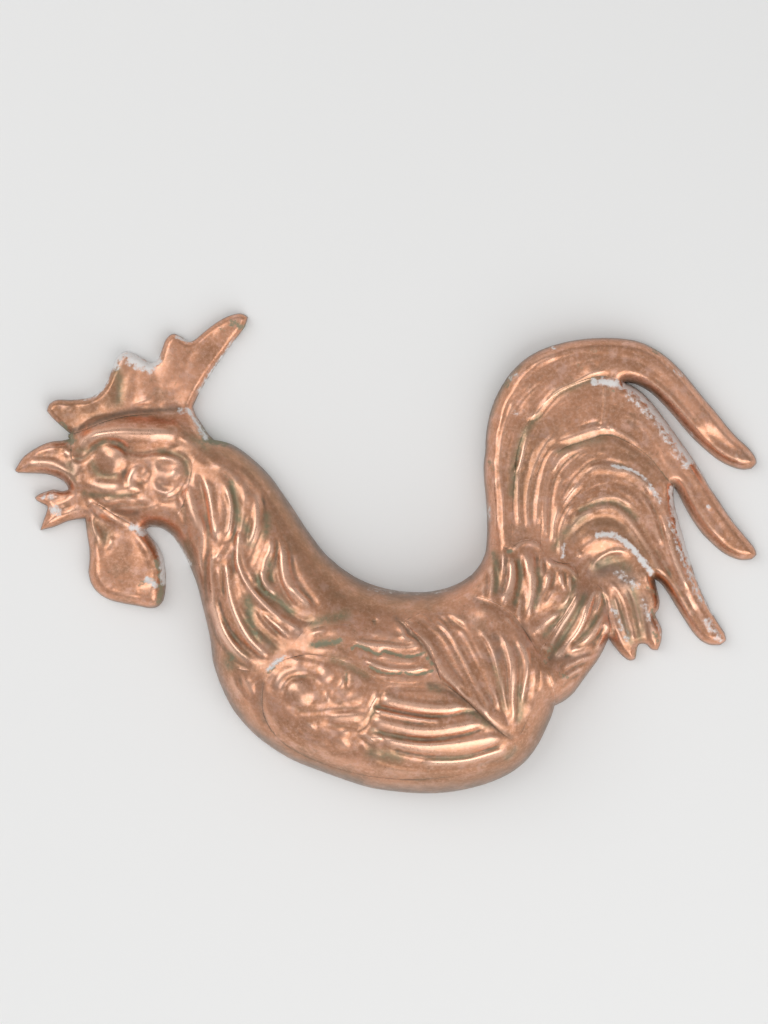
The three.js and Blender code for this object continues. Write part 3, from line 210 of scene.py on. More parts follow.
# Joints between two sections
joints = dict(
    combFoot=[
        (-158, 60), (-153, 60.8), (-147, 63), (-140, 65.8), (-132, 68), (-124, 69.2), (-115, 69.8),
        (-106, 70.2), (-100, 71.3), (-96.5, 73.5),
    ],
    beakRoot=[(-158.3, 57.3), (-157, 52), (-156.5, 46), (-157, 40), (-158.8, 32)],
    chinRoot=[(-158.8, 32), (-155.2, 27.8), (-152.4, 22.6), (-150.4, 17.4)],
    wattleRoot=[
        (-150.4, 17.4), (-149.6, 22), (-147, 25.2), (-142, 24), (-136, 20), (-130, 16.5), (-125, 14),
        (-120, 11.7),
    ],
    faceToNeck=[
        (-86, 56.8), (-91.5, 52), (-95.5, 46), (-97.5, 38), (-99.2, 30), (-102, 22), (-107, 16.6),
        (-113, 14), (-118, 13.2),
    ],
    neckToBack=[(-22, -7.5), (-27, -16), (-31, -24), (-35, -31), (-41, -38.5)],
    neckToScapular=[(-41, -38.5), (-47, -45.5), (-52, -51), (-57, -56)],
    neckToBreast=[(-57, -56), (-65, -57.8), (-75, -56.5), (-86.6, -53.5)],
    scapularTop=[(-41, -38.5), (-33, -36), (-25, -35), (-15, -34.5), (-4, -33), (8, -33.5)],
    saddleTop=[(8, -33.5), (18, -28.5), (28, -23.8), (39, -20.3)],
    backToCoverts=[(39, -20.3), (40.6, -15), (43, -10.5)],
    saddleFrontUpper=[(8, -33.5), (14, -38), (20, -43.5), (23, -50), (25, -57), (27, -63)],
    saddleFrontLower=[(27, -63), (33, -67.5), (40, -73), (47, -80), (54, -86), (60, -90.4), (63.6, -92.6)],
    saddleRearUpper=[(39, -20.3), (50, -22.5), (60, -28), (67, -35.5), (72, -43), (75.5, -50)],
    saddleRearLower=[(75.5, -50), (76.2, -58), (75.4, -67), (72.6, -77), (67.5, -87.4), (63.6, -92.6)],
    wingShoulder=[(-57, -56), (-60.6, -64), (-61.6, -74)],
    wingTop=[
        (-57, -56), (-50, -52), (-42, -50), (-34, -50), (-26, -51.8), (-18, -54.2), (-10, -58.5),
        (-2, -62.6), (8, -64), (18, -63.6), (27, -63),
    ],
    wingBottom=[
        (-61.6, -74), (-60.6, -80.5), (-57, -87.5), (-51, -94), (-42, -99.5), (-32, -104), (-20, -107.8),
        (-6, -110.6), (8, -111.8), (22, -111.6), (36, -109.8), (48, -106.6), (57, -103.3), (62.5, -100.2),
    ],
    wingTip=[(62.5, -100.2), (64.4, -96.4), (63.6, -92.6)],
    covertsTopOuter=[(50.2, 4), (54, 4.6), (58, 3), (62, 3)],
    covertsTopMiddle=[(62, 3), (66, 5.8), (70, 6.8), (74, 6), (77, 3.5)],
    covertsTopInner=[(77, 3.5), (80, -0.5), (84, -3.5), (88.5, -4.6), (93, -4.5)],
    covertsToPlume=[(93, -4.5), (95.4, -10), (96.5, -17)],
    covertsToFluff=[(96.5, -17), (91, -27), (85, -35.5), (80, -43), (75.5, -50)],
    fluffToPlumeUpper=[(96.5, -17), (100, -15.6), (104, -14.2)],
    fluffToPlumeLower=[
        (104, -14.2), (107.6, -17.6), (109.6, -23), (110.8, -30), (111.6, -37), (111.3, -42.5),
    ],
    bodyToFluff=[(84.3, -76), (83.8, -69.5), (81.2, -62), (78.4, -56), (75.5, -50)],
    plumeTop=[
        (93, -4.5), (97, 0), (102, 5.4), (108, 8.8), (114, 8.4), (119, 5.4), (124, 0.4), (128, -4.6),
        (131.5, -9.4), (134.3, -12.8),
    ],
    outerValley=[
        (62, 3), (62.4, 12), (63, 22), (63.6, 34), (64.6, 45), (66.6, 55), (70, 64), (75, 70.8),
        (80, 76), (86, 80.6), (94, 84.4), (102, 87.2), (110, 87.9), (119.5, 85.3),
    ],
    innerValley=[
        (77, 3.5), (77, 15), (77.6, 26), (79, 36), (81.2, 43.6), (84.6, 49.4), (89, 53), (95, 55),
        (101, 57), (107, 58.8), (113, 58.6), (119, 56), (125, 52.6), (131, 48), (136, 42), (140.5, 36.4),
        (144, 33),
    ],
)

# Where the depth is set: x, y, depth, how far in from a rim the sheet rolls over, reach
stations = [
    (-128, 46, depths["head"], 12, 17), (-108, 44, depths["head"], 12, 14),
    (-148, 42, depths["head"] * 0.72, 8, 10), (-152, 26, depths["chin"] * 1.35, 5, 6),
    (-164, 22, depths["chin"], 3.6, 8), (-163, 47, depths["beak"] * 1.2, 5.5, 7),
    (-172, 47, depths["beak"], 4.5, 9), (-184, 42, depths["beakTip"], 3, 6),
    (-160, 68, depths["comb"] * 0.85, 3.2, 10), (-140, 76, depths["comb"], 3.6, 9),
    (-120, 82, depths["comb"], 3.6, 11), (-102, 88, depths["comb"], 3.6, 14),
    (-128, 90, depths["comb"] * 0.9, 3.2, 14), (-82, 107, depths["comb"] * 0.72, 3, 16),
    (-132, 8, depths["wattle"] * 0.9, 5, 9), (-130, -8, depths["wattle"], 6, 15),
    (-86, 42, depths["neck"] * 0.82, 15, 16), (-92, 8, depths["neck"] * 0.82, 15, 18),
    (-66, 22, depths["neck"] * 0.94, 20, 20), (-70, -14, depths["neck"], 24, 24),
    (-34, -8, depths["neck"], 19, 22), (-66, -46, depths["breast"] * 0.94, 27, 22),
    (-62, -78, depths["breast"], 30, 24), (-36, -92, depths["body"] * 0.96, 34, 26),
    (-8, -62, depths["body"], 40, 36), (20, -92, depths["body"], 38, 34),
    (50, -70, depths["body"] * 0.96, 34, 26), (72, -76, depths["rump"], 26, 20),
    (8, -30, depths["back"], 24, 22), (45, -34, depths["back"], 20, 20),
    (58, -8, depths["tailRoot"] * 1.14, 12, 15), (80, -22, depths["tailRoot"] * 1.1, 12, 16),
    (95, -48, depths["tailRoot"] * 0.82, 12, 17), (112, -12, depths["plume"], 6, 12),
    (124, -30, depths["plume"] * 0.7, 4.5, 13), (124, -48, depths["plumeTip"], 3.6, 10),
    (64, 22, depths["tailRoot"] * 0.8, 8, 18), (86, 14, depths["tailRoot"] * 0.78, 8, 18),
    (60, 52, depths["tail"] * 1.1, 7, 20), (72, 84, depths["tail"], 6.5, 18),
    (108, 97, depths["tail"] * 0.94, 6, 22), (145, 80, depths["tail"] * 0.86, 6, 20),
    (180, 48, depths["tailTip"], 5, 18), (100, 70, depths["tail"] * 1.06, 6, 20),
    (132, 62, depths["tail"] * 0.94, 6, 18), (158, 28, depths["tail"] * 0.8, 6, 20),
    (180, 1, depths["tailTip"], 5, 18), (100, 34, depths["tail"] * 1.06, 6, 20),
    (132, 30, depths["tail"] * 0.96, 6, 16), (142, -4, depths["tail"] * 0.84, 6, 18),
    (164, -40, depths["tailTip"], 5, 18),
]


# A smooth line through points, as the pieces were drawn: each span leaves a point the way its
# neighbours lie.
def smoothLine(points, perSpan):
    p = np.array(points, float)
    before = np.vstack([p[:1], p[:-1]])
    after = np.vstack([p[1:], p[-1:]])
    beyond = np.vstack([after[1:], p[-1:]])
    t = (np.arange(perSpan) / perSpan)[:, None, None]
    a, b, c, d = before[:-1], p[:-1], after[:-1], beyond[:-1]
    line = 0.5 * (2 * b + (c - a) * t + (2 * a - 5 * b + 4 * c - d) * t**2 + (3 * b - a - 3 * c + d) * t**3)
    return np.vstack([line.transpose(1, 0, 2).reshape(-1, 2), p[-1:]])


def lengthsAlong(line):
    return np.concatenate([[0], np.cumsum(np.hypot(*np.diff(line, axis=0).T))])


def spaced(line, places):
    along = lengthsAlong(line)
    return np.column_stack([np.interp(places, along, line[:, 0]), np.interp(places, along, line[:, 1])])


# Evenly spaced points on a part of a line, from one share of its length to another
def partOf(line, low, high, count):
    return spaced(line, np.linspace(low, high, count) * lengthsAlong(line)[-1])


def unit(ways):
    return ways / np.maximum(np.hypot(*ways.T), tiny)[:, None]


def leftOf(ways):
    return np.column_stack([-ways[:, 1], ways[:, 0]])


def smooth(value):
    value = np.clip(value, 0, 1)
    return value * value * (3 - 2 * value)


# Distance from each point to the nearest of some straight pieces, and the way there. Ways that
# are almost as short share in it.
def toPieces(points, starts, ends, blend=0.0):
    distance = np.empty(len(points))
    outward = np.zeros((len(points), 2))
    run = ends - starts
    runSquared = np.maximum((run**2).sum(1), tiny)
    for first in range(0, len(points), pointsAtOnce):
        part = points[first:first + pointsAtOnce]
        away = part[:, None, :] - starts
        along = np.clip((away * run).sum(2) / runSquared, 0, 1)
        to = along[..., None] * run - away
        far = np.sqrt((to**2).sum(2))
        least = far.min(1)
        distance[first:first + pointsAtOnce] = least
        if blend:
            weight = np.clip(1 - (far - least[:, None]) / blend, 0, 1)
            ways = to / np.maximum(far, tiny)[..., None]
            outward[first:first + pointsAtOnce] = (ways * weight[..., None]).sum(1) / weight.sum(1)[:, None]
    return distance, outward


def piecesOf(lines):
    return np.vstack([line[:-1] for line in lines]), np.vstack([line[1:] for line in lines])


rimPieces = piecesOf([smoothLine(points, spanSteps["rim"]) for points in rims.values()])

# The strokes of the relief, each a line on the plan with a kind, a height and a width
strokes = []


def addStrokes(shape):
    relief = shape.get("relief", 1.0)
    for kind, scale in strokeKinds.items():
        for height, width, points in shape.get(kind, ()):
            height = height * scale["height"] * relief
            strokes.append(dict(kind=kind, height=height, width=width * scale["width"], points=points))


# Fine lines between two guide lines, as the chasing tool left them
def addBarbs(count, depth, width, seed, *guides):
    chance = np.random.default_rng(seed)
    a, b = [partOf(smoothLine(guide, spanSteps["stroke"]), 0, 1, barbs["guideSteps"]) for guide in guides]
    for k in range(count):
        share = (k + 0.5 + chance.uniform(-barbs["shift"], barbs["shift"])) / count
        low = chance.uniform(0, barbs["lateStart"])
        high = 1 - chance.uniform(0, barbs["earlyEnd"])
        line = partOf(a + (b - a) * share, low, high, barbs["points"])
        sway = chance.uniform(-barbs["sway"], barbs["sway"], line.shape)
        strokes.append(dict(
            kind="grooves", height=-depth * chance.uniform(*barbs["depth"]),
            width=width * chance.uniform(*barbs["width"]), points=line + sway,
        ))


# A stroke fades and narrows at both ends, unless it is a mere dab
def endFade(place, whole, width):
    if whole <= chasing["shortest"] * width:
        return np.ones(len(place))
    taper = min(chasing["taper"] * width, chasing["longestTaper"] * whole)
    start = chasing["endHeight"]
    return smooth(start + place / taper) * smooth(start + (whole - place) / taper)


# A ridge leans over and has its long side at the lower right
def ridgeForm(distance, side, way, width):
    toLong = way[:, 0] * chasing["leanWay"][1] - way[:, 1] * chasing["leanWay"][0]
    lean = chasing["lean"] * np.abs(toLong)
    across = side * np.sign(toLong) / width + lean
    across = np.where(across < 0, -across / (1 - lean), across / (1 + lean))
    beyond = np.sqrt(np.maximum(distance**2 - side**2, 0)) / width
    share = np.clip(np.hypot(across, beyond), 0, 1)
    return (1 - share) * (1 + chasing["ridgeFullness"] * share)


# A groove comes to a point
def grooveForm(distance, width):
    share = np.clip(distance / width, 0, 1)
    return (1 - share) ** chasing["grooveSharpness"] * (1 + share)


# A lap is highest at its line, drops sharply on the right of it and falls away slowly on the left
def lapForm(distance, side, width):
    reach = np.sign(side) * distance
    return smooth(0.5 + reach / chasing["lapEdge"]) * (1 - smooth(reach / width)) * (distance < width)


def strokeHeight(points):
    total = np.zeros(len(points))
    for stroke in strokes:
        line = smoothLine(stroke["points"], spanSteps["stroke"])
        width = stroke["width"]
        low, high = line.min(0) - width, line.max(0) + width
        near = np.flatnonzero(((points > low) & (points < high)).all(1))
        if len(near) == 0:
            continue
        run = np.diff(line, axis=0)
        away = points[near][:, None, :] - line[:-1]
        along = np.clip((away * run).sum(2) / np.maximum((run**2).sum(1), tiny), 0, 1)
        to = away - along[..., None] * run
        far = np.sqrt((to**2).sum(2))
        nearest = far.argmin(1)
        rows = np.arange(len(near))
        distance = far[rows, nearest]
        lengths = lengthsAlong(line)
        place = lengths[nearest] + along[rows, nearest] * np.diff(lengths)[nearest]
        fade = endFade(place, lengths[-1], width)
        narrowed = width * (chasing["endWidth"] + (1 - chasing["endWidth"]) * fade)
        way = unit(run[nearest])
        side = way[:, 0] * to[rows, nearest, 1] - way[:, 1] * to[rows, nearest, 0]
        if stroke["kind"] == "ridges":
            form = ridgeForm(distance, side, way, narrowed)
        elif stroke["kind"] == "grooves":
            form = grooveForm(distance, narrowed)
        else:
            form = lapForm(distance, side, width)
        total[near] += stroke["height"] * form * fade
    return total


# The outer face over some points: its height, the way it faces, and what the chasing adds
def reliefAt(points, swell, toJoint):
    distance, outward = toPieces(points, *rimPieces, blend=sheet["rimBlend"])
    place = np.array(stations, float)
    weight = np.exp(-(((points[:, None, :] - place[:, :2]) ** 2).sum(2)) / place[:, 4] ** 2)
    weight /= weight.sum(1)[:, None]
    depth, roll = weight @ place[:, 2], weight @ place[:, 3]
    share = np.clip(distance / roll, 0, 1)
    rise = np.sqrt(1 - (1 - share) ** 2)
    swelling = swell * (1 - np.exp(-toJoint / sheet["seamFade"]))
    chased = smooth(distance / sheet["rimFade"]) * (strokeHeight(points) + swelling)
    facing = np.column_stack([outward * (1 - share)[:, None], rise])
    return depth * rise + chased, facing, chased, rise


# Corners along every edge, shared by the two sections that meet there
edgeCorners = {}
endSteps = np.array(fineness["endSteps"])
for edgeName, points in {**rims, **joints}.items():
    line = smoothLine(points, spanSteps["edge"])
    length = lengthsAlong(line)[-1]
    places = np.linspace(0, length, max(2, math.ceil(length / fineness["pitch"]) + 1))
    if edgeName in joints:
        places = np.sort(np.concatenate([places, endSteps, length - endSteps]))
    edgeCorners[edgeName] = spaced(line, places)


# The edges of a section, each turned so that it goes on from the one before
def chainOf(names):
    chain = [edgeCorners[name] for name in names]

    def gap(corner, corners):
        return min(np.hypot(*(corner - corners[0])), np.hypot(*(corner - corners[-1])))

    if gap(chain[0][-1], chain[1]) > gap(chain[0][0], chain[1]):
        chain[0] = chain[0][::-1]
    for i in range(1, len(chain)):
        last = chain[i - 1][-1]
        if np.hypot(*(last - chain[i][0])) > np.hypot(*(last - chain[i][-1])):
            chain[i] = chain[i][::-1]
    return chain


# The outline of a section, anticlockwise, and whether the side before and after each corner
# lies in a joint
def outlineOf(names):
    chain = chainOf(names)
    corners = np.vstack([line[:-1] for line in chain])
    after = np.repeat([name in joints for name in names], [len(line) - 1 for line in chain])
    before = np.roll(after, 1)
    x, y = corners.T
    if (x * np.roll(y, -1) - y * np.roll(x, -1)).sum() < 0:
        corners, before, after = corners[::-1], after[::-1], before[::-1]
    return corners, before, after


# Moves the corners of an outline in, by one distance from the side before and another from
# the side after.
def moveIn(corners, fromBefore, fromAfter):
    first = leftOf(unit(corners - np.roll(corners, 1, 0)))
    second = leftOf(unit(np.roll(corners, -1, 0) - corners))
    cross = first[:, 0] * second[:, 1] - first[:, 1] * second[:, 0]
    most = np.maximum(fromBefore, fromAfter)
    flat = np.abs(cross) < fineness["flatCorner"]
    safe = np.where(flat, 1, cross)
    moveX = (fromBefore * second[:, 1] - fromAfter * first[:, 1]) / safe
    moveY = (fromAfter * first[:, 0] - fromBefore * second[:, 0]) / safe
    move = np.column_stack([moveX, moveY])
    reach = np.maximum(np.hypot(*move.T), tiny)
    move *= np.minimum(1, fineness["cornerReach"] * most / reach)[:, None]
    move[flat] = (unit(first + second) * most[:, None])[flat]
    return corners + move


def inside(points, corners):
    x, y = points.T
    result = np.zeros(len(points), bool)
    for a, b in zip(corners, np.roll(corners, -1, 0)):
        if a[1] != b[1]:
            crossing = (a[1] > y) != (b[1] > y)
            result ^= crossing & (x < a[0] + (y - a[1]) / (b[1] - a[1]) * (b[0] - a[0]))
    return result


# Places for the mesh inside an outline: rows that follow the rim up the wall, then a lattice
# of equal triangles
def innerPlaces(corners, before, after):
    pitch = fineness["pitch"]
    onRim = ~(before | after)
    whole = np.ones(len(corners))
    inward = unit(moveIn(corners, whole, whole) - corners)[onRim]
    rows = np.vstack([corners[onRim] + inward * step for step in fineness["wallRows"]])
    rowRoom = fineness["rowToRim"] * np.repeat(fineness["wallRows"], onRim.sum())
    low, high = corners.min(0), corners.max(0)
    across = np.arange(low[0], high[0], pitch)
    up = np.arange(low[1], high[1], pitch * math.sqrt(0.75))
    grid = np.array([(x + (k % 2) * pitch / 2, y) for k, y in enumerate(up) for x in across])
    gridRoom = np.full(len(grid), fineness["wallRows"][-1] + fineness["gridToRow"] * pitch)
    kept = []
    for places, room, toJoint in (
        (rows, rowRoom, fineness["rowToJoint"]), (grid, gridRoom, fineness["gridToJoint"]),
    ):
        good = inside(places, corners)
        places, room = places[good], room[good]
        good = toPieces(places, *rimPieces)[0] > room
        if after.any():
            good &= toPieces(places, corners[after], np.roll(corners, -1, 0)[after])[0] > toJoint * pitch
        kept.append(places[good])
    return np.vstack(kept)


def triangulate(corners, inner):
    places = np.vstack([corners, inner])
    outline = list(range(len(corners)))
    insideOnly = 1
    _, _, faces, sources, _, _ = delaunay_2d_cdt(
        [Vector(place) for place in places], [], [outline], insideOnly, fineness["closest"], True
    )
    own = np.array([source[0] for source in sources])
    triangles = own[np.array([face[:3] for face in faces])]
    return triangles[inside(places[triangles].mean(1), corners)]


# Evens out a value over the mesh, over about the reach in millimetres
def spread(values, triangles, reach):
    edges = np.vstack([triangles[:, [0, 1]], triangles[:, [1, 2]], triangles[:, [2, 0]]])
    count = np.maximum(np.bincount(edges.ravel(), minlength=len(values)), 1)
    for _ in range(max(1, round((reach / fineness["pitch"]) ** 2 * 2))):
        total = np.bincount(edges[:, 0], values[edges[:, 1]], len(values))
        total += np.bincount(edges[:, 1], values[edges[:, 0]], len(values))
        values = 0.5 * values + 0.5 * total / count
    return values


def meshObject(name, corners, triangles):
    mesh = bpy.data.meshes.new(name)
    mesh.vertices.add(len(corners))
    mesh.vertices.foreach_set("co", np.asarray(corners, np.float32).ravel())
    mesh.loops.add(triangles.size)
    mesh.loops.foreach_set("vertex_index", triangles.ravel().astype(np.int32))
    mesh.polygons.add(len(triangles))
    mesh.polygons.foreach_set("loop_start", np.arange(0, triangles.size, 3, dtype=np.int32))
    mesh.update(calc_edges=True)
    mesh.validate()
    mesh.shade_smooth()
    piece = bpy.data.objects.new(name, mesh)
    scene.collection.objects.link(piece)
    return piece


# The values are for the outer face. The inner face repeats them, unless it has one of its own.
def addAttribute(piece, name, values, behind=None):
    inner = values if behind is None else np.full(len(values), behind)
    attribute = piece.data.attributes.new(name, "FLOAT", "POINT")
    attribute.data.foreach_set("value", np.concatenate([values, inner]).astype(np.float32))


# How strong one of the stains, or the painted shadow, is at some points. Its spots are lines with a strength
# and a reach.
def stainAndShadowAt(points, spots, widened):
    total = np.zeros(len(points))
    for strength, reach, line in spots:
        distance, _ = toPieces(points, *piecesOf([smoothLine(line, spanSteps["mark"])]))
        total = np.maximum(total, strength * np.exp(-((distance / (reach * widened)) ** 2)))
    return total


# The edges round the outline stay sharp on both faces
def sharpenOutline(piece, count, border):
    ends = np.empty(len(piece.data.edges) * 2, np.int32)
    piece.data.edges.foreach_get("vertices", ends)
    first, second = np.sort(ends.reshape(-1, 2)).T
    step = second - first
    outer = second < border
    inner = (first >= count) & (second < count + border)
    around = ((step == 1) | (step == border - 1)) & (outer | inner)
    sharp = piece.data.attributes.new("sharp_edge", "BOOLEAN", "EDGE")
    sharp.data.foreach_set("value", around)


# One section of sheet: the outer face, the inner face below it and the cut edge between them.
# On a rim the cut edge lies flat on the rim plane.
def copperSection(node, shape):
    corners, before, after = outlineOf(shape["edges"])
    inner = innerPlaces(corners, before, after)
    triangles = triangulate(corners, inner)
    points = np.vstack([corners, inner])
    a, b, c = points[triangles].transpose(1, 0, 2)
    turned = (b[:, 0] - a[:, 0]) * (c[:, 1] - a[:, 1]) - (c[:, 0] - a[:, 0]) * (b[:, 1] - a[:, 1]) < 0
    triangles[turned] = triangles[turned][:, ::-1]
    count, border = len(points), len(corners)
    toJoint = np.full(count, farAway)
    if after.any():
        toJoint, _ = toPieces(points, corners[after], np.roll(corners, -1, 0)[after])
    height, facing, chased, rise = reliefAt(points, shape.get("swell", 0.0), toJoint)
    evened = spread(chased, triangles, chasing["softness"])
    evened[:border] = chased[:border]
    height += evened - chased

    seam, cut = sheet["seam"] / 2, sheet["thickness"]
    outer = np.column_stack([points, height])
    outer[:border, :2] = moveIn(corners, np.where(before, seam, 0), np.where(after, seam, 0))
    innerFace = outer - sheet["thickness"] * facing
    behind = moveIn(corners, np.where(before, seam, cut), np.where(after, seam, cut))
    onRim = ~(before & after)
    outer[:border][onRim, 2] = 0
    innerFace[:border][onRim] = np.column_stack([behind[onRim], np.zeros(onRim.sum())])
    i = np.arange(border)
    j = (i + 1) % border
    side = np.vstack([np.column_stack([j, i, count + i]), np.column_stack([j, count + i, count + j])])
    faces = np.vstack([triangles, triangles[:, ::-1] + count, side])
    piece = meshObject(node + "_skin", np.vstack([outer, innerFace]) * mm, faces)
    sharpenOutline(piece, count, border)

    # hollows are negative and ridges positive, over a small and a wider reach
    for form, reach in formReach.items():
        addAttribute(piece, form, evened - spread(evened, triangles, reach))
    addAttribute(piece, "wall", 1 - rise)
    addAttribute(piece, "backFace", np.zeros(count), 1)
    for mark, spots in stainsAndShadows.items():
        addAttribute(piece, mark, stainAndShadowAt(points, spots, stainAndShadowReach[mark]), 0)
    slot = shape["finish"]
    piece.data.materials.append(finishes[slot])
    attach(piece, "root")
    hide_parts(node)
    print(piece.name, len(faces), "triangles")


# Materials
def nodeIn(tree, kind, **settings):
    made = tree.nodes.new(kind)
    for key, value in settings.items():
        if hasattr(made, key):
            setattr(made, key, value)
        else:
            made.inputs[key].default_value = value
    return made


# A socket takes another node's value, a colour or a number
def feed(tree, socket, value):
    if isinstance(value, bpy.types.NodeSocket):
        tree.links.new(value, socket)
    elif isinstance(value, tuple):
        socket.default_value = (*value, 1.0)
    else:
        socket.default_value = value


def attributeIn(tree, name):
    return nodeIn(tree, "ShaderNodeAttribute", attribute_name=name).outputs["Fac"]


def rangeIn(tree, value, low, high, toLow=0.0, toHigh=1.0):
    made = nodeIn(tree, "ShaderNodeMapRange", interpolation_type="SMOOTHSTEP")
    tree.links.new(value, made.inputs["Value"])
    for key, number in (("From Min", low), ("From Max", high), ("To Min", toLow), ("To Max", toHigh)):
        made.inputs[key].default_value = number
    return made.outputs["Result"]


# Two values or more, taken together from the left
def mathIn(tree, operation, first, *others):
    for other in others:
        made = nodeIn(tree, "ShaderNodeMath", operation=operation)
        feed(tree, made.inputs[0], first)
        feed(tree, made.inputs[1], other)
        first = made.outputs["Value"]
    return first


def mixIn(tree, share, a, b):
    made = nodeIn(tree, "ShaderNodeMix", data_type="RGBA")
    for key, value in (("Factor", share), ("A", a), ("B", b)):
        feed(tree, made.inputs[key], value)
    return made.outputs["Result"]


def noiseIn(tree, size, detail, roughness):
    made = nodeIn(tree, "ShaderNodeTexNoise", Scale=1.0 / (size * mm), Detail=detail, Roughness=roughness)
    place = tree.nodes.new("ShaderNodeTexCoord").outputs["Object"]
    tree.links.new(place, made.inputs["Vector"])
    return made.outputs["Fac"]


def startMaterial(name):
    material = bpy.data.materials.new(name)
    material.use_nodes = True
    tree = material.node_tree
    return material, tree, tree.nodes["Principled BSDF"]
